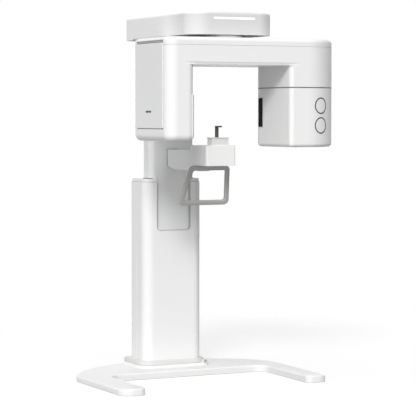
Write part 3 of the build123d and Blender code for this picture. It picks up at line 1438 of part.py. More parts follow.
def window_prism(inset, x_low, x_high):
    outline = rounded_rect(
        AXIS_Y - WINDOW_HALF_Y + inset,
        AXIS_Y + WINDOW_HALF_Y - inset,
        WINDOW_LOW_Z + inset,
        WINDOW_LOW_Z + WINDOW_HEIGHT - inset,
        WINDOW_RADIUS - inset,
    )
    return side_prism(outline, x_low, x_high)


def detector_window():
    return window_prism(0, DETECTOR_FACE_X - WINDOW_SEAT, DETECTOR_FACE_X + WINDOW_PROUD)


def tube_hanger():
    return block(
        SPAR_RIGHT_X,
        SPAR_RIGHT_X + HANGER_SHEET,
        AXIS_Y - SPAR_HALF_Y,
        AXIS_Y + SPAR_HALF_Y,
        TANK_TOP_Z,
        SPAR_TOP_Z,
    )


def tube_tank():
    plan = rounded_rect(
        TANK_LEFT_X, TANK_RIGHT_X, TANK_Y - TANK_HALF_Y, TANK_Y + TANK_HALF_Y, TANK_RADIUS
    )
    return prism(plan, TANK_LOW_Z, TANK_TOP_Z)


def collimator():
    middle_y = (SLIT_FRONT_Y + SLIT_REAR_Y) / 2
    left_x = HEAD_INNER_X + WALL + COLLIMATOR_GAP
    high_z = SLIT_LOW_Z + SLIT_HEIGHT
    body = block(
        left_x,
        TANK_LEFT_X,
        middle_y - COLLIMATOR_HALF_Y,
        middle_y + COLLIMATOR_HALF_Y,
        SLIT_LOW_Z,
        high_z,
    )
    half = COLLIMATOR_SLOT / 2
    return body - block(
        left_x - OVERRUN,
        TANK_LEFT_X + OVERRUN,
        middle_y - half,
        middle_y + half,
        SLIT_LOW_Z + WALL,
        high_z - WALL,
    )


PIECES = {
    "base_casting": base_casting,
    "leg_cap_right": leg_cap,
    "leg_cap_left": lambda: mirrored(leg_cap()),
    "levelling_feet": levelling_feet,
    "column_foot": column_foot,
    "foot_bolts": foot_bolts,
    "cable_hood": cable_hood,
    "column_front_cover": column_front_cover,
    "column_rear_cover": column_rear_cover,
    "side_strip_right": column_side_strip,
    "side_strip_left": lambda: mirrored(column_side_strip()),
    "column_collar": column_collar,
    "column_spine": column_spine,
    "guide_rails": guide_rails,
    "lift_gearbox": lift_gearbox,
    "lift_motor": lift_motor,
    "actuator_tube": actuator_tube,
    "power_supply": power_supply,
    "inner_column": inner_column,
    "guide_carriages": guide_carriages,
    "actuator_rod": actuator_rod,
    "rod_plate": rod_plate,
    "chin_bracket": chin_bracket,
    "bracket_bolts": bracket_bolts,
    "chin_box_cover": chin_box_cover,
    "chin_box_floor": chin_box_floor,
    "bite_holder": bite_holder,
    "bite_block": bite_block,
    "hand_grip": hand_grip,
    "top_cover": top_cover,
    "top_plate": top_plate,
    "light_strip": light_strip,
    "bearing_outer_ring": bearing_outer_ring,
    "bearing_liner": bearing_liner,
    "turn_motor": turn_motor,
    "drive_belt": drive_belt,
    "drive_pulley": drive_pulley,
    "bearing_inner_ring": bearing_inner_ring,
    "arm_pulley": arm_pulley,
    "spindle_nut": spindle_nut,
    "spindle": spindle,
    "spindle_bolts": spindle_bolts,
    "arm_spar": arm_spar,
    "arm_shell": arm_shell,
    "arm_lid": arm_lid,
    "side_panel": side_panel,
    "detector_hanger": detector_hanger,
    "detector_panel": detector_panel,
    "detector_pad": detector_pad,
    "detector_window": detector_window,
    "tube_hanger": tube_hanger,
    "tube_tank": tube_tank,
    "collimator": collimator,
    "head_cover": head_cover,
    "beam_window": beam_window,
    "cap_rings": cap_rings,
    "service_caps": service_caps,
}


def main():
    os.makedirs("parts", exist_ok=True)
    for name, make in PIECES.items():
        export_step(make(), os.path.join("parts", name + ".step"))


if __name__ == "__main__":
    main()
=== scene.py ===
import json
import math

import bmesh
import bpy
from mathutils import Matrix, Vector


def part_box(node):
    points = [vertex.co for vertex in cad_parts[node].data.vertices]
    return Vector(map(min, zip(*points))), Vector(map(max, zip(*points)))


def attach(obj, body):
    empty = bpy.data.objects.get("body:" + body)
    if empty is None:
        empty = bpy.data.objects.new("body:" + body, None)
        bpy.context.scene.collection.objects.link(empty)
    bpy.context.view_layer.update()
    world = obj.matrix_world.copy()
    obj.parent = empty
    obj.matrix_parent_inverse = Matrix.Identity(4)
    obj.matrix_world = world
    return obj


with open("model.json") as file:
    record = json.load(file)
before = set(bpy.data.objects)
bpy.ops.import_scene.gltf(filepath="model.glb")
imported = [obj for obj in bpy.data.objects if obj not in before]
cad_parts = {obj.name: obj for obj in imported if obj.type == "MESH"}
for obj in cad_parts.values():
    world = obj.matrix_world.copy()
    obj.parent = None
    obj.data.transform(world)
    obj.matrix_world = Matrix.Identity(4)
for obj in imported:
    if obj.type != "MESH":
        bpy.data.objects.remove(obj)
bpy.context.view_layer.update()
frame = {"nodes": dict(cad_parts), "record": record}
nodes = frame["nodes"]
print("frame loaded:", len(nodes), "CAD nodes")


# Camera: far away with a long lens, level with the head space, from the front left

view = {
    "place": (-4.176, -8.989, 1.396),
    "heading": (0.4423, 0.8969),
    "tiltDegrees": -2.95,
    "lens": 158.2,
    "sensor": 36.0,
    "reach": 100.0,
}


def addCamera():
    camera = bpy.data.cameras.new("photoCamera")
    camera.sensor_width = view["sensor"]
    camera.lens = view["lens"]
    camera.clip_end = view["reach"]
    holder = bpy.data.objects.new("photoCamera", camera)
    bpy.context.scene.collection.objects.link(holder)
    tilt = math.radians(view["tiltDegrees"])
    headX, headY = view["heading"]
    look = Vector((headX * math.cos(tilt), headY * math.cos(tilt), math.sin(tilt)))
    holder.location = view["place"]
    holder.rotation_euler = look.to_track_quat("-Z", "Y").to_euler()
    bpy.context.scene.camera = holder


addCamera()
print("camera set")


# Node helpers for the studio and the finishes

white = (1.0, 1.0, 1.0, 1.0)


def feed(tree, value, socket):
    # a plain value sits on the socket itself, anything else is linked to it
    if isinstance(value, (float, tuple)):
        socket.default_value = value
    else:
        tree.links.new(value, socket)


def addRange(tree, value, fromEnds, toEnds, easing="SMOOTHSTEP"):
    ranged = tree.nodes.new("ShaderNodeMapRange")
    ranged.interpolation_type = easing
    feed(tree, value, ranged.inputs["Value"])
    feed(tree, fromEnds[0], ranged.inputs["From Min"])
    feed(tree, fromEnds[1], ranged.inputs["From Max"])
    feed(tree, toEnds[0], ranged.inputs["To Min"])
    feed(tree, toEnds[1], ranged.inputs["To Max"])
    return ranged.outputs["Result"]


def addProduct(tree, first, second):
    product = tree.nodes.new("ShaderNodeMath")
    product.operation = "MULTIPLY"
    feed(tree, first, product.inputs[0])
    feed(tree, second, product.inputs[1])
    return product.outputs[0]


def addColorMix(tree, share, first, second):
    mix = tree.nodes.new("ShaderNodeMix")
    mix.data_type = "RGBA"
    feed(tree, share, mix.inputs["Factor"])
    feed(tree, first, mix.inputs["A"])
    feed(tree, second, mix.inputs["B"])
    return mix.outputs["Result"]


def addShaderMix(tree, share, first, second):
    mix = tree.nodes.new("ShaderNodeMixShader")
    tree.links.new(share, mix.inputs[0])
    tree.links.new(first, mix.inputs[1])
    tree.links.new(second, mix.inputs[2])
    return mix.outputs[0]


def addSeenRays(tree):
    # 1 for rays that show the background itself: camera, mirror and glass rays
    rays = tree.nodes.new("ShaderNodeLightPath")
    seen = rays.outputs["Is Camera Ray"]
    for label in ("Is Glossy Ray", "Is Transmission Ray"):
        either = tree.nodes.new("ShaderNodeMath")
        either.operation = "MAXIMUM"
        tree.links.new(seen, either.inputs[0])
        tree.links.new(rays.outputs[label], either.inputs[1])
        seen = either.outputs[0]
    return seen


# Light and floor

room = {
    "from": (-0.5, -0.58, 0.64),  # where the room is brightest
    "edge": -0.2,  # cosine of the angle from there at which the light has faded away
    "bright": 0.91,
    "dim": 0.0,
    "backdrop": 1.0,
}


def addWorld():
    # a room that is brightest at the front left and overhead, behind a plain white backdrop
    world = bpy.data.worlds.new("studioWorld")
    bpy.context.scene.world = world
    world.use_nodes = True
    tree = world.node_tree
    tree.nodes.clear()
    out = tree.nodes.new("ShaderNodeOutputWorld")
    place = tree.nodes.new("ShaderNodeTexCoord")
    facing = tree.nodes.new("ShaderNodeVectorMath")
    facing.operation = "DOT_PRODUCT"
    facing.inputs[1].default_value = Vector(room["from"]).normalized()
    tree.links.new(place.outputs["Generated"], facing.inputs[0])
    level = addRange(tree, facing.outputs["Value"], (room["edge"], 1.0), (room["dim"], room["bright"]))
    light = tree.nodes.new("ShaderNodeBackground")
    light.inputs["Color"].default_value = white
    tree.links.new(level, light.inputs["Strength"])
    backdrop = tree.nodes.new("ShaderNodeBackground")
    backdrop.inputs["Color"].default_value = white
    backdrop.inputs["Strength"].default_value = room["backdrop"]
    shown = addShaderMix(tree, addSeenRays(tree), light.outputs[0], backdrop.outputs[0])
    tree.links.new(shown, out.inputs["Surface"])


paleFloor = {
    "radius": 4.5,
    "sides": 96,
    "drop": 0.0005,  # clears the underside of the base
    "fade": (1.7, 3.2),  # from here to there the floor runs out into the backdrop
    "color": (0.38, 0.38, 0.38, 1.0),
    "lift": 0.68,  # brings the lit floor up to the backdrop's white and keeps its shadow
}


def addFloor():
    mesh = bpy.data.meshes.new("paleFloor")
    bm = bmesh.new()
    bmesh.ops.create_circle(bm, cap_ends=True, segments=paleFloor["sides"], radius=paleFloor["radius"])
    bmesh.ops.translate(bm, verts=bm.verts, vec=(0.0, 0.0, -paleFloor["drop"]))
    bm.to_mesh(mesh)
    bm.free()
    floor = bpy.data.objects.new("paleFloor", mesh)
    bpy.context.scene.collection.objects.link(floor)
    material = bpy.data.materials.new("paleFloor")
    material.use_nodes = True
    tree = material.node_tree
    tree.nodes.clear()
    out = tree.nodes.new("ShaderNodeOutputMaterial")
    surface = tree.nodes.new("ShaderNodeBsdfDiffuse")
    surface.inputs["Color"].default_value = paleFloor["color"]
    glow = tree.nodes.new("ShaderNodeEmission")
    tree.links.new(addProduct(tree, addSeenRays(tree), paleFloor["lift"]), glow.inputs["Strength"])
    both = tree.nodes.new("ShaderNodeAddShader")
    tree.links.new(surface.outputs[0], both.inputs[0])
    tree.links.new(glow.outputs[0], both.inputs[1])
    clear = tree.nodes.new("ShaderNodeBsdfTransparent")
    place = tree.nodes.new("ShaderNodeTexCoord")
    reach = tree.nodes.new("ShaderNodeVectorMath")
    reach.operation = "LENGTH"
    tree.links.new(place.outputs["Object"], reach.inputs[0])
    fade = addRange(tree, reach.outputs["Value"], paleFloor["fade"], (0.0, 1.0))
    shown = addShaderMix(tree, fade, both.outputs[0], clear.outputs[0])
    tree.links.new(shown, out.inputs["Surface"])
    mesh.materials.append(material)


# mirrored says whether glossy surfaces show the lamp
lamps = {
    "frontSun": {"from": (-0.47, -0.71, 0.52), "strength": 1.9, "angleDegrees": 16.0, "mirrored": True},
    "rearFill": {"from": (0.36, 0.92, 0.08), "strength": 1.2, "angleDegrees": 30.0, "mirrored": False},
}


def addSun(name, sun):
    lamp = bpy.data.lights.new(name, "SUN")
    lamp.energy = sun["strength"]
    lamp.angle = math.radians(sun["angleDegrees"])
    holder = bpy.data.objects.new(name, lamp)
    bpy.context.scene.collection.objects.link(holder)
    holder.visible_glossy = sun["mirrored"]
    holder.rotation_euler = (-Vector(sun["from"])).to_track_quat("-Z", "Y").to_euler()


bpy.context.scene.view_settings.view_transform = "Standard"
addWorld()
addFloor()
for name, sun in lamps.items():
    addSun(name, sun)
print("studio lit")


# Shader groups that several finishes share

def newGroup(name, inputs, outputs):
    group = bpy.data.node_groups.new(name, "ShaderNodeTree")
    for label, kind in inputs.items():
        group.interface.new_socket(label, in_out="INPUT", socket_type=kind)
    for label, kind in outputs.items():
        group.interface.new_socket(label, in_out="OUTPUT", socket_type=kind)
    source = group.nodes.new("NodeGroupInput")
    target = group.nodes.new("NodeGroupOutput")
    return group, source.outputs, target.inputs


def addNoise(tree, vector, scale, detail=0.0, roughness=0.5):
    noise = tree.nodes.new("ShaderNodeTexNoise")
    noise.inputs["Detail"].default_value = detail
    noise.inputs["Roughness"].default_value = roughness
    tree.links.new(vector, noise.inputs["Vector"])
    feed(tree, scale, noise.inputs["Scale"])
    return noise.outputs["Fac"]


grainPattern = {"detail": 3.0, "patchScale": 3.2, "patchEnds": (0.2, 0.8)}


def makeMouldedGrain():
    # fine skin of a moulding or a sprayed coat, with hand-wiped patches in its gloss
    group, source, target = newGroup(
        "mouldedGrain",
        {
            "Vector": "NodeSocketVector",
            "Grain Scale": "NodeSocketFloat",
            "Rough Low": "NodeSocketFloat",
            "Rough High": "NodeSocketFloat",
        },
        {"Roughness": "NodeSocketFloat", "Height": "NodeSocketFloat"},
    )
    grain = addNoise(group, source["Vector"], source["Grain Scale"], grainPattern["detail"])
    patches = addNoise(group, source["Vector"], grainPattern["patchScale"])
    roughEnds = (source["Rough Low"], source["Rough High"])
    gloss = addRange(group, patches, grainPattern["patchEnds"], roughEnds)
    group.links.new(gloss, target["Roughness"])
    group.links.new(grain, target["Height"])
    return group


tonePattern = {
    "slowScale": 1.7,
    "slowEnds": (0.15, 0.85),
    "speckScale": 38.0,
    "speckDetail": 5.0,
    "speckRoughness": 0.7,
    "dustColor": (0.52, 0.5, 0.46, 1.0),
}


def makeToneDrift():
    # slow drift of a colour towards a second tone, plus dust that gathers low down
    group, source, target = newGroup(
        "toneDrift",
        {
            "Vector": "NodeSocketVector",
            "Color": "NodeSocketColor",
            "Drift Color": "NodeSocketColor",
            "Amount": "NodeSocketFloat",
            "Dust Height": "NodeSocketFloat",
            "Dust Amount": "NodeSocketFloat",
        },
        {"Color": "NodeSocketColor"},
    )
    slow = addNoise(group, source["Vector"], tonePattern["slowScale"])
    share = addRange(group, slow, tonePattern["slowEnds"], (0.0, source["Amount"]))
    drift = addColorMix(group, share, source["Color"], source["Drift Color"])
    split = group.nodes.new("ShaderNodeSeparateXYZ")
    group.links.new(source["Vector"], split.inputs[0])
    heightEnds = (0.0, source["Dust Height"])
    low = addRange(group, split.outputs["Z"], heightEnds, (source["Dust Amount"], 0.0), "LINEAR")
    specks = addNoise(
        group,
        source["Vector"],
        tonePattern["speckScale"],
        tonePattern["speckDetail"],
        tonePattern["speckRoughness"],
    )
    dust = addProduct(group, low, specks)
    settled = addColorMix(group, dust, drift, tonePattern["dustColor"])
    group.links.new(settled, target["Color"])
    return group


linePattern = {"scale": 1.0, "detail": 4.0, "roughness": 0.6, "glossEnds": (0.25, 0.75)}


def makeToolLines():
    # drawn or turned metal: noise stretched along one direction
    group, source, target = newGroup(
        "toolLines",
        {
            "Vector": "NodeSocketVector",
            "Stretch": "NodeSocketVector",
            "Rough Low": "NodeSocketFloat",
            "Rough High": "NodeSocketFloat",
        },
        {"Roughness": "NodeSocketFloat", "Height": "NodeSocketFloat", "Tone": "NodeSocketFloat"},
    )
    stretch = group.nodes.new("ShaderNodeVectorMath")
    stretch.operation = "MULTIPLY"
    group.links.new(source["Vector"], stretch.inputs[0])
    group.links.new(source["Stretch"], stretch.inputs[1])
    lines = addNoise(
        group,
        stretch.outputs["Vector"],
        linePattern["scale"],
        linePattern["detail"],
        linePattern["roughness"],
    )
    roughEnds = (source["Rough Low"], source["Rough High"])
    gloss = addRange(group, lines, linePattern["glossEnds"], roughEnds)
    group.links.new(gloss, target["Roughness"])
    group.links.new(lines, target["Height"])
    group.links.new(lines, target["Tone"])
    return group


mouldedGrain = makeMouldedGrain()
toneDrift = makeToneDrift()
toolLines = makeToolLines()
print("shader groups built")


# Finishes

def startFinish(name, settings):
    material = bpy.data.materials.new(name)
    material.use_nodes = True
    tree = material.node_tree
    tree.nodes.clear()
    out = tree.nodes.new("ShaderNodeOutputMaterial")
    shader = tree.nodes.new("ShaderNodeBsdfPrincipled")
    tree.links.new(shader.outputs[0], out.inputs["Surface"])
    place = tree.nodes.new("ShaderNodeTexCoord")
    for label, value in settings.items():
        shader.inputs[label].default_value = value
    return material, tree, shader, place.outputs["Object"]


def addGroup(tree, group, vector, values):
    node = tree.nodes.new("ShaderNodeGroup")
    node.node_tree = group
    tree.links.new(vector, node.inputs["Vector"])
    for label, value in values.items():
        node.inputs[label].default_value = value
    return node.outputs


def addBump(tree, shader, height, strength, distance):
    bump = tree.nodes.new("ShaderNodeBump")
    bump.inputs["Strength"].default_value = strength
    bump.inputs["Distance"].default_value = distance
    tree.links.new(height, bump.inputs["Height"])
    tree.links.new(bump.outputs["Normal"], shader.inputs["Normal"])


# painted shade: the grey that the top frame's walls take towards its front, where less light falls
paintedFrontShade = {
    "color": (0.69, 0.69, 0.692, 1.0),
    "fade": (0.081, 0.321),  # behind the top frame's front: full tone, then none
    "rim": (0.022, 0.002),  # under the top frame's top: full tone, then none
}


def addPaintedFrontShade(tree, vector, color):
    # paints shade on the top frame's walls, greyer towards the front, and leaves its top as it is
    low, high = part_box("top_cover")
    split = tree.nodes.new("ShaderNodeSeparateXYZ")
    tree.links.new(vector, split.inputs[0])
    fadeEnds = tuple(low.y + step for step in paintedFrontShade["fade"])
    rimEnds = tuple(high.z - step for step in paintedFrontShade["rim"])
    forward = addRange(tree, split.outputs["Y"], fadeEnds, (1.0, 0.0))
    below = addRange(tree, split.outputs["Z"], rimEnds, (1.0, 0.0))
    return addColorMix(tree, addProduct(tree, forward, below), color, paintedFrontShade["color"])


# what a skin has unless its own entry says otherwise
plainSkin = {
    "ior": 1.47,
    "specular": 0.5,
    "coat": 0.0,
    "coatRough": 0.1,
    "glow": 0.0,
    "dust": 0.0,
    "dustHeight": 0.12,
    "paintedFrontShade": False,
}

skins = {
    "base_paint": {
        "color": (0.89, 0.89, 0.887), "drift": (0.868, 0.868, 0.861), "driftAmount": 0.5,
        "grainScale": 520.0, "rough": (0.34, 0.44), "bump": 0.16, "bumpDepth": 0.0006,
        "dust": 0.07, "dustHeight": 0.05,
    },
    "cover_white": {
        "color": (0.9, 0.9, 0.898), "drift": (0.882, 0.88, 0.872), "driftAmount": 0.5,
        "grainScale": 760.0, "rough": (0.34, 0.42), "bump": 0.07, "bumpDepth": 0.0004,
        "specular": 0.35,
    },
    # the top frame's white, with painted shade towards its front
    "frame_white_painted_shade": {
        "color": (0.9, 0.9, 0.898), "drift": (0.882, 0.88, 0.872), "driftAmount": 0.5,
        "grainScale": 760.0, "rough": (0.3, 0.36), "bump": 0.07, "bumpDepth": 0.0004,
        "paintedFrontShade": True,
    },
    "cap_white": {
        "color": (0.9, 0.9, 0.9), "drift": (0.88, 0.88, 0.875), "driftAmount": 0.4,
        "grainScale": 300.0, "rough": (0.08, 0.14), "bump": 0.02, "bumpDepth": 0.0004,
        "coat": 0.35, "coatRough": 0.06, "dust": 0.05, "dustHeight": 0.04,
    },
    "column_white": {
        "color": (0.87, 0.87, 0.87), "drift": (0.855, 0.855, 0.85), "driftAmount": 0.5,
        "grainScale": 620.0, "rough": (0.36, 0.44), "bump": 0.1, "bumpDepth": 0.0004,
        "specular": 0.35, "dust": 0.05, "dustHeight": 0.3,
    },
    "strip_grey": {
        "color": (0.87, 0.87, 0.872), "drift": (0.852, 0.852, 0.85), "driftAmount": 0.5,
        "grainScale": 900.0, "rough": (0.4, 0.5), "bump": 0.14, "bumpDepth": 0.0004,
        "dust": 0.06, "dustHeight": 0.3,
    },
    "panel_grey": {
        "color": (0.88, 0.883, 0.887), "drift": (0.862, 0.865, 0.868), "driftAmount": 0.5,
        "grainScale": 1100.0, "rough": (0.42, 0.52), "bump": 0.16, "bumpDepth": 0.0004,
    },
    "lift_paint": {
        "color": (0.86, 0.864, 0.866), "drift": (0.84, 0.844, 0.844), "driftAmount": 0.5,
        "grainScale": 480.0, "rough": (0.36, 0.46), "bump": 0.12, "bumpDepth": 0.0005,
    },
    "foot_paint": {
        "color": (0.7, 0.7, 0.696), "drift": (0.67, 0.67, 0.662), "driftAmount": 0.5,
        "grainScale": 520.0, "rough": (0.34, 0.44), "bump": 0.14, "bumpDepth": 0.0005,
        "dust": 0.08, "dustHeight": 0.09,
    },
    "motor_black": {
        "color": (0.035, 0.035, 0.038), "drift": (0.05, 0.05, 0.052), "driftAmount": 0.6,
        "grainScale": 420.0, "rough": (0.42, 0.56), "bump": 0.2, "bumpDepth": 0.0005,
    },
    "rubber_black": {
        "color": (0.03, 0.03, 0.03), "drift": (0.045, 0.044, 0.042), "driftAmount": 0.7,
        "grainScale": 380.0, "rough": (0.7, 0.85), "bump": 0.25, "bumpDepth": 0.0006,
    },
    "window_black": {
        "color": (0.007, 0.007, 0.008), "drift": (0.01, 0.01, 0.011), "driftAmount": 0.5,
        "grainScale": 300.0, "rough": (0.3, 0.38), "bump": 0.02, "bumpDepth": 0.0003,
        "specular": 0.04,
    },
    "ring_grey": {
        "color": (0.075, 0.075, 0.078), "drift": (0.06, 0.06, 0.062), "driftAmount": 0.6,
        "grainScale": 900.0, "rough": (0.38, 0.5), "bump": 0.12, "bumpDepth": 0.0004,
    },
    "grip_grey": {
        "color": (0.44, 0.438, 0.431), "drift": (0.4, 0.398, 0.39), "driftAmount": 0.6,
        "grainScale": 1300.0, "rough": (0.36, 0.5), "bump": 0.2, "bumpDepth": 0.0004,
    },
    "holder_grey": {
        "color": (0.78, 0.78, 0.772), "drift": (0.74, 0.74, 0.73), "driftAmount": 0.5,
        "grainScale": 900.0, "rough": (0.4, 0.5), "bump": 0.12, "bumpDepth": 0.0004,
    },
    "bite_grey": {
        "color": (0.05, 0.05, 0.054), "drift": (0.07, 0.07, 0.074), "driftAmount": 0.6,
        "grainScale": 900.0, "rough": (0.34, 0.46), "bump": 0.1, "bumpDepth": 0.0003,
    },
    "liner_white": {
        "color": (0.76, 0.74, 0.66), "drift": (0.7, 0.68, 0.6), "driftAmount": 0.6,
        "grainScale": 500.0, "rough": (0.4, 0.55), "bump": 0.1, "bumpDepth": 0.0004,
    },
    "detector_dark": {
        "color": (0.07, 0.07, 0.078), "drift": (0.09, 0.09, 0.098), "driftAmount": 0.6,
        "grainScale": 900.0, "rough": (0.4, 0.5), "bump": 0.12, "bumpDepth": 0.0004,
    },
    "light_white": {
        "color": (0.9, 0.92, 0.95), "drift": (0.86, 0.9, 0.95), "driftAmount": 0.5,
        "grainScale": 500.0, "rough": (0.3, 0.4), "bump": 0.05, "bumpDepth": 0.0003,
        "glow": 0.45,
    },
}


def makeSkin(name, own):
    # painted or moulded skins: grain, gloss patches, slow tone drift and floor dust, and on the top
    # frame a painted shade towards its front
    skin = {**plainSkin, **own}
    settings = {
        "Metallic": 0.0,
        "IOR": skin["ior"],
        "Specular IOR Level": skin["specular"],
        "Coat Weight": skin["coat"],
        "Coat Roughness": skin["coatRough"],
        "Emission Color": white,
        "Emission Strength": skin["glow"],
    }
    material, tree, shader, vector = startFinish(name, settings)
    grainValues = {
        "Grain Scale": skin["grainScale"],
        "Rough Low": skin["rough"][0],
        "Rough High": skin["rough"][1],
    }
    toneValues = {
        "Color": (*skin["color"], 1.0),
        "Drift Color": (*skin["drift"], 1.0),
        "Amount": skin["driftAmount"],
        "Dust Height": skin["dustHeight"],
        "Dust Amount": skin["dust"],
    }
    grain = addGroup(tree, mouldedGrain, vector, grainValues)
    color = addGroup(tree, toneDrift, vector, toneValues)["Color"]
    # painted shade on the top frame's front walls
    if skin["paintedFrontShade"]:
        color = addPaintedFrontShade(tree, vector, color)
    tree.links.new(color, shader.inputs["Base Color"])
    tree.links.new(grain["Roughness"], shader.inputs["Roughness"])
    addBump(tree, shader, grain["Height"], skin["bump"], skin["bumpDepth"])
    return material


metals = {
    "steel": {
        "color": (0.56, 0.57, 0.58), "dark": (0.46, 0.47, 0.48), "stretch": (420.0, 420.0, 9.0),
        "rough": (0.24, 0.42), "bump": 0.12, "bumpDepth": 0.0004,
    },
    "aluminium": {
        "color": (0.76, 0.77, 0.78), "dark": (0.66, 0.67, 0.68), "stretch": (14.0, 360.0, 360.0),
        "rough": (0.26, 0.44), "bump": 0.12, "bumpDepth": 0.0004,
    },
}


def makeMetal(name, metal):
    material, tree, shader, vector = startFinish(name, {"Metallic": 1.0})
    lineValues = {
        "Stretch": metal["stretch"],
        "Rough Low": metal["rough"][0],
        "Rough High": metal["rough"][1],
    }
    lines = addGroup(tree, toolLines, vector, lineValues)
    color = addColorMix(tree, lines["Tone"], (*metal["color"], 1.0), (*metal["dark"], 1.0))
    tree.links.new(color, shader.inputs["Base Color"])
    tree.links.new(lines["Roughness"], shader.inputs["Roughness"])
    addBump(tree, shader, lines["Height"], metal["bump"], metal["bumpDepth"])
    return material


finishes = {slot: makeSkin(slot, skin) for slot, skin in skins.items()}
finishes.update({slot: makeMetal(slot, metal) for slot, metal in metals.items()})

# the top frame takes the white with painted shade at its front
ownFinishes = {"top_cover": "frame_white_painted_shade"}  # nodes that differ from the rest of their slot

for part in frame["record"]["subparts"]:
    piece = nodes[part["node"]]
    finish = ownFinishes.get(part["node"], part["material_slot"])
    piece.data.materials.clear()
    piece.data.materials.append(finishes[finish])
print("finishes on", len(nodes), "nodes")


# Seals and screws that the housings carry, and dark or grey pieces that are painted shade in gaps, in
# grooves and along the floor

sharpDegrees = 30.0  # edges that turn by more than this stay crisp


def addPiece(name, bm, body, slot):
    mesh = bpy.data.meshes.new(name)
    bm.to_mesh(mesh)
    bm.free()
    mesh.shade_smooth()
    mesh.set_sharp_from_angle(angle=math.radians(sharpDegrees))
    mesh.materials.append(finishes[slot])
    piece = bpy.data.objects.new(name, mesh)
    bpy.context.scene.collection.objects.link(piece)
    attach(piece, body)


def flatOutline(points):
    bm = bmesh.new()
    bm.faces.new([bm.verts.new(point) for point in points])
    return bm


def roundCorners(bm, verts, radius, steps):
    bmesh.ops.bevel(
        bm,
        geom=verts,
        offset=radius,
        offset_type="OFFSET",
        segments=steps,
        profile=0.5,
        affect="VERTICES",
        material=-1,
    )


def keepRim(bm, width):
    # leaves only a border of this width inside a flat outline
    field = bm.faces[:]
    made = bmesh.ops.inset_region(
        bm, faces=field, thickness=width, use_boundary=True, use_even_offset=True
    )
    bmesh.ops.delete(bm, geom=field, context="FACES")
    return made["faces"]


def extrudeFaces(bm, faces):
    made = bmesh.ops.extrude_face_region(bm, geom=faces)["geom"]
    newVerts = [item for item in made if isinstance(item, bmesh.types.BMVert)]
    newFaces = [item for item in made if isinstance(item, bmesh.types.BMFace)]
    return newVerts, newFaces


def thicken(bm, faces, move):
    # pushes a copy of the faces along move and closes the sides
    newVerts, newFaces = extrudeFaces(bm, faces)
    bmesh.ops.translate(bm, verts=newVerts, vec=move)
    bmesh.ops.recalc_face_normals(bm, faces=bm.faces)
    return newFaces


# painted shade: a dark frame in the gap round the side panel stands for the shade that falls there
panelGapShade = {"edge": 0.0028, "depth": 0.0045, "corner": 0.0115, "cornerSteps": 6, "clear": 0.0002}


def sideOutline(x, yEnds, zEnds, corner, steps):
    # flat outline with round corners on a plane that faces left
    yLow, yHigh = yEnds
    zLow, zHigh = zEnds
    bm = flatOutline([(x, yLow, zLow), (x, yLow, zHigh), (x, yHigh, zHigh), (x, yHigh, zLow)])
    roundCorners(bm, bm.verts[:], corner, steps)
    return bm


def addPanelGapShade():
    # fills the gap between the side panel and its recess with a dark frame, painted shade for the gap
    low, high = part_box("side_panel")
    edge = panelGapShade["edge"]
    yEnds = (low.y - edge, high.y + edge)
    zEnds = (low.z - edge, high.z + edge)
    bm = sideOutline(high.x, yEnds, zEnds, panelGapShade["corner"], panelGapShade["cornerSteps"])
    rim = keepRim(bm, edge - panelGapShade["clear"])
    thicken(bm, rim, (-panelGapShade["depth"], 0.0, 0.0))
    addPiece("panelGapShade", bm, "arm", "ring_grey")


# painted shade: a grey sheet in the finger groove stands for the shade in the recess
grooveShade = {"height": 0.0105, "depth": 0.002, "corner": 0.004725, "cornerSteps": 6}


def addGrooveShade():
    # covers the finger groove over the side panel in grey, painted shade for the recess
    low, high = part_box("side_panel")
    inset = panelGapShade["edge"] - panelGapShade["clear"]
    foot = high.z + panelGapShade["edge"] + panelGapShade["clear"]
    yEnds = (low.y - inset, high.y + inset)
    zEnds = (foot, foot + grooveShade["height"])
    bm = sideOutline(high.x, yEnds, zEnds, grooveShade["corner"], grooveShade["cornerSteps"])
    thicken(bm, bm.faces[:], (-grooveShade["depth"], 0.0, 0.0))
    addPiece("grooveShade", bm, "arm", "grip_grey")


addPanelGapShade()
addGrooveShade()
print("side panel sealed")


pullSlot = {
    "aside": 0.007,  # behind the panel's middle
    "rise": 0.0835,  # over the panel's lower edge
    "halfLength": 0.032,
    "radius": 0.0048,
    "sides": 32,
    "proud": 0.0009,
    "lip": 0.0013,
    "sunk": 0.0006,
}


def addPullSlot():
    # the side panel's pull: a capsule rim with a sunk floor, whose dark colour is painted shade for the
    # hollow of the slot
    low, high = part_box("side_panel")
    middle = Vector((low.x, (low.y + high.y) / 2 + pullSlot["aside"], low.z + pullSlot["rise"]))
    bm = bmesh.new()
    bmesh.ops.create_circle(bm, cap_ends=True, segments=pullSlot["sides"], radius=pullSlot["radius"])
    straight = pullSlot["halfLength"] - pullSlot["radius"]
    for vert in bm.verts:
        vert.co.x += math.copysign(straight, vert.co.x)
    # the capsule's long way lies along the panel, and its face looks left
    quarter = math.radians(90.0)
    turn = Matrix.Rotation(-quarter, 4, "Y") @ Matrix.Rotation(quarter, 4, "Z")
    bmesh.ops.transform(bm, matrix=turn, verts=bm.verts)
    bmesh.ops.translate(bm, verts=bm.verts, vec=middle)
    top = thicken(bm, bm.faces[:], (-pullSlot["proud"], 0.0, 0.0))
    bmesh.ops.inset_region(
        bm, faces=top, thickness=pullSlot["lip"], depth=-pullSlot["sunk"], use_even_offset=True
    )
    addPiece("pullSlot", bm, "arm", "ring_grey")


addPullSlot()
print("panel pull set")


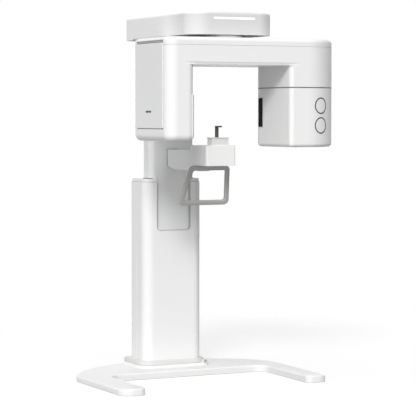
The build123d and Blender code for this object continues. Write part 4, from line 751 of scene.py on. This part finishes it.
# each band follows the outline of its node, between two heights counted from a node's top or foot
bands = {
    "headSeal": {
        "node": "head_cover", "body": "arm", "slot": "ring_grey", "proud": 0.0001,
        "from": ("head_cover", "top"), "rise": (-0.0143, -0.0103),
    },
    "collarSeal": {
        "node": "column_collar", "body": "base", "slot": "grip_grey", "proud": 0.0002,
        "from": ("column_collar", "foot"), "rise": (0.0002, 0.0028),
    },
    "wiperLip": {
        "node": "inner_column", "body": "base", "slot": "ring_grey", "proud": 0.0035,
        "from": ("column_collar", "top"), "rise": (0.0002, 0.0032),
        "openFront": True,  # the chin bracket passes there
    },
    # painted shade: the grey strips at the feet of the column foot, the base and the leg caps stand for
    # the contact shade where they meet the base or the floor
    "footContactShade": {
        "node": "column_foot", "body": "base", "slot": "grip_grey", "proud": 0.0002,
        "from": ("column_foot", "foot"), "rise": (0.0006, 0.0022),
    },
    "floorContactShade": {
        "node": "base_casting", "body": "base", "slot": "grip_grey", "proud": 0.0001,
        "from": ("base_casting", "foot"), "rise": (0.0004, 0.002),
    },
    "leftCapContactShade": {
        "node": "leg_cap_left", "body": "base", "slot": "grip_grey", "proud": 0.0001,
        "from": ("leg_cap_left", "foot"), "rise": (0.0004, 0.002),
    },
    "rightCapContactShade": {
        "node": "leg_cap_right", "body": "base", "slot": "grip_grey", "proud": 0.0001,
        "from": ("leg_cap_right", "foot"), "rise": (0.0004, 0.002),
    },
}

bandCut = {
    "mergeGap": 0.00001,
    "wallClear": 0.00005,
    "levelFacing": 0.5,  # a face that looks up or down by more than this is no wall
    "frontFacing": -0.9,  # a wall that looks forward by more than this is the front
}


def wallReach(wall):
    across = [vert.co.x for face in wall for vert in face.verts]
    along = [vert.co.y for face in wall for vert in face.verts]
    return (max(across) - min(across)) * (max(along) - min(along))


def outerWall(bm):
    # the faces of the slice that are joined to its outermost wall
    waiting = set(bm.faces)
    walls = []
    while waiting:
        wall = [waiting.pop()]
        for face in wall:
            for edge in face.edges:
                for other in edge.link_faces:
                    if other in waiting:
                        waiting.remove(other)
                        wall.append(other)
        walls.append(wall)
    return set(max(walls, key=wallReach))


def bandHeights(band):
    node, end = band["from"]
    low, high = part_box(node)
    level = high.z if end == "top" else low.z
    return [level + rise for rise in band["rise"]]


def addBand(name, band):
    # thin strip round a housing, cut from the housing's own outline
    bm = bmesh.new()
    bm.from_mesh(nodes[band["node"]].data)
    bmesh.ops.remove_doubles(bm, verts=bm.verts, dist=bandCut["mergeGap"])
    foot, top = bandHeights(band)
    for height in (foot, top):
        bmesh.ops.bisect_plane(
            bm,
            geom=bm.verts[:] + bm.edges[:] + bm.faces[:],
            plane_co=(0.0, 0.0, height),
            plane_no=(0.0, 0.0, 1.0),
            clear_inner=height == foot,
            clear_outer=height == top,
        )
    level = [face for face in bm.faces if abs(face.normal.z) > bandCut["levelFacing"]]
    bmesh.ops.delete(bm, geom=level, context="FACES")
    outside = outerWall(bm)
    bmesh.ops.delete(bm, geom=[face for face in bm.faces if face not in outside], context="FACES")
    if band.get("openFront"):
        front = [face for face in bm.faces if face.normal.y < bandCut["frontFacing"]]
        bmesh.ops.delete(bm, geom=front, context="FACES")
    for vert in bm.verts:
        vert.normal_update()
    for vert in bm.verts:
        vert.co += vert.normal * bandCut["wallClear"]
    newVerts = extrudeFaces(bm, bm.faces[:])[0]
    for vert in newVerts:
        flat = Vector((vert.normal.x, vert.normal.y, 0.0)).normalized()
        vert.co += flat * band["proud"]
    bmesh.ops.recalc_face_normals(bm, faces=bm.faces)
    addPiece(name, bm, band["body"], band["slot"])


for name, band in bands.items():
    addBand(name, band)
print("seals and edging round the housings:", len(bands))


slotLip = {
    "halfWidth": 0.1,  # of the slot in the column's front cover
    "length": 0.261,  # of the slot, down from the cover's top
    "corner": 0.022,
    "cornerSteps": 8,
    "wall": 0.003,
    "sunk": 0.0025,  # behind the cover's front
    "rearGap": 0.002,  # in front of the inner column
    "clear": 0.0002,
}


def addSlotLip():
    # soft lip along both sides and the foot of the column's slot
    coverLow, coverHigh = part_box("column_front_cover")
    front = coverLow.y + slotLip["sunk"]
    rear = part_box("inner_column")[0].y - slotLip["rearGap"]
    half = slotLip["halfWidth"] - slotLip["clear"]
    top = coverHigh.z
    low = top - slotLip["length"] + slotLip["clear"]
    bm = flatOutline([(-half, front, top), (-half, front, low), (half, front, low), (half, front, top)])
    foot = [vert for vert in bm.verts if vert.co.z < top - slotLip["corner"]]
    roundCorners(bm, foot, slotLip["corner"], slotLip["cornerSteps"])
    rim = keepRim(bm, slotLip["wall"])
    # the border across the slot's open end goes, and both sides run up to the top
    nearTop = top - 2 * slotLip["wall"]
    across = [face for face in rim if all(vert.co.z > nearTop for vert in face.verts)]
    bmesh.ops.delete(bm, geom=across, context="FACES")
    for vert in bm.verts:
        if vert.co.z > nearTop:
            vert.co.z = top
    thicken(bm, bm.faces[:], (0.0, rear - front, 0.0))
    addPiece("slotLip", bm, "base", "grip_grey")


addSlotLip()
print("column slot lined")


# painted shade: a grey frame at the bracket's root stands for the shade in the gap
bracketGapShade = {
    "edge": 0.003,
    "depth": 0.003,
    "corner": 0.006,
    "cornerSteps": 5,
    "clear": 0.0003,
    "footRise": 0.021,  # the bracket's foot at the column lies this far over its lowest point
}


def addBracketGapShade():
    # grey frame round the chin bracket where it meets the lifting column, painted shade for the gap
    # there
    low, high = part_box("chin_bracket")
    edge = bracketGapShade["edge"]
    face = high.y - bracketGapShade["clear"]
    left, right = low.x - edge, high.x + edge
    foot, top = low.z + bracketGapShade["footRise"] - edge, high.z + edge
    bm = flatOutline([(left, face, foot), (right, face, foot), (right, face, top), (left, face, top)])
    roundCorners(bm, bm.verts[:], bracketGapShade["corner"], bracketGapShade["cornerSteps"])
    rim = keepRim(bm, edge - bracketGapShade["clear"])
    thicken(bm, rim, (0.0, -bracketGapShade["depth"], 0.0))
    addPiece("bracketGapShade", bm, "lift", "grip_grey")


addBracketGapShade()
print("bracket sealed")


screw = {
    "radius": 0.0046,
    "sides": 20,
    "height": 0.0011,
    "shoulder": 0.0005,
    "shoulderRise": 0.0003,
    "socket": 0.0019,
    "socketDepth": 0.0014,
    "socketTaper": 0.0002,
}

# spots are counted across from the node's middle, and then from its foot or its front edge
screwRows = {
    "rearCoverScrews": {
        "body": "base",
        "node": "column_rear_cover",
        "side": "rear",
        "spots": [(x, rise) for x in (-0.112, 0.112) for rise in (0.037, 0.307, 0.577, 0.847)],
    },
    "topPlateScrews": {
        "body": "lift",
        "node": "top_plate",
        "side": "under",
        "spots": [(x, y) for x in (-0.205, 0.205) for y in (0.1367, 0.3967, 0.6567)]
        + [(x, 0.0217) for x in (-0.09, 0.09)],
    },
    "chinFloorScrews": {
        "body": "lift",
        "node": "chin_box_floor",
        "side": "under",
        "spots": [(x, y) for x in (-0.062, 0.062) for y in (0.0177, 0.1677)],
    },
    "headFloorScrews": {
        "body": "arm",
        "node": "head_cover",
        "side": "under",
        "spots": [(-0.104, 0.053), (-0.054, 0.393), (0.116, 0.216)],
    },
    "bracketTopScrews": {
        "body": "lift",
        "node": "chin_bracket",
        "side": "top",
        "spots": [(x, y) for x in (-0.018, 0.018) for y in (0.339, 0.143)],
    },
}


def screwSeats(row):
    # which way the heads look, and where each one sits on its node
    low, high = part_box(row["node"])
    middle = (low.x + high.x) / 2
    if row["side"] == "rear":
        return Vector((0.0, 1.0, 0.0)), [(middle + x, high.y, low.z + rise) for x, rise in row["spots"]]
    if row["side"] == "under":
        return Vector((0.0, 0.0, -1.0)), [(middle + x, low.y + y, low.z) for x, y in row["spots"]]
    return Vector((0.0, 0.0, 1.0)), [(middle + x, low.y + y, high.z) for x, y in row["spots"]]


def addScrewHead(bm, place, facing):
    # button head with a round drive socket, made upright and then set in its place
    before = set(bm.verts)
    made = bmesh.ops.create_circle(bm, cap_ends=True, segments=screw["sides"], radius=screw["radius"])
    newVerts, lid = extrudeFaces(bm, made["verts"][0].link_faces[:])
    bmesh.ops.translate(bm, verts=newVerts, vec=(0.0, 0.0, screw["height"]))
    flatWidth = screw["radius"] - screw["shoulder"] - screw["socket"]
    for inward, upward in (
        (screw["shoulder"], screw["shoulderRise"]),
        (flatWidth, 0.0),
        (screw["socketTaper"], -screw["socketDepth"]),
    ):
        bmesh.ops.inset_region(bm, faces=lid, thickness=inward, depth=upward, use_even_offset=True)
    head = [vert for vert in bm.verts if vert not in before]
    turn = facing.to_track_quat("Z", "Y").to_matrix().to_4x4()
    bmesh.ops.transform(bm, matrix=Matrix.Translation(place) @ turn, verts=head)


def addScrewRow(name, row):
    bm = bmesh.new()
    facing, places = screwSeats(row)
    for place in places:
        addScrewHead(bm, place, facing)
    bmesh.ops.recalc_face_normals(bm, faces=bm.faces)
    addPiece(name, bm, row["body"], "steel")


for name, row in screwRows.items():
    addScrewRow(name, row)
print("screws set in", len(screwRows), "rows")
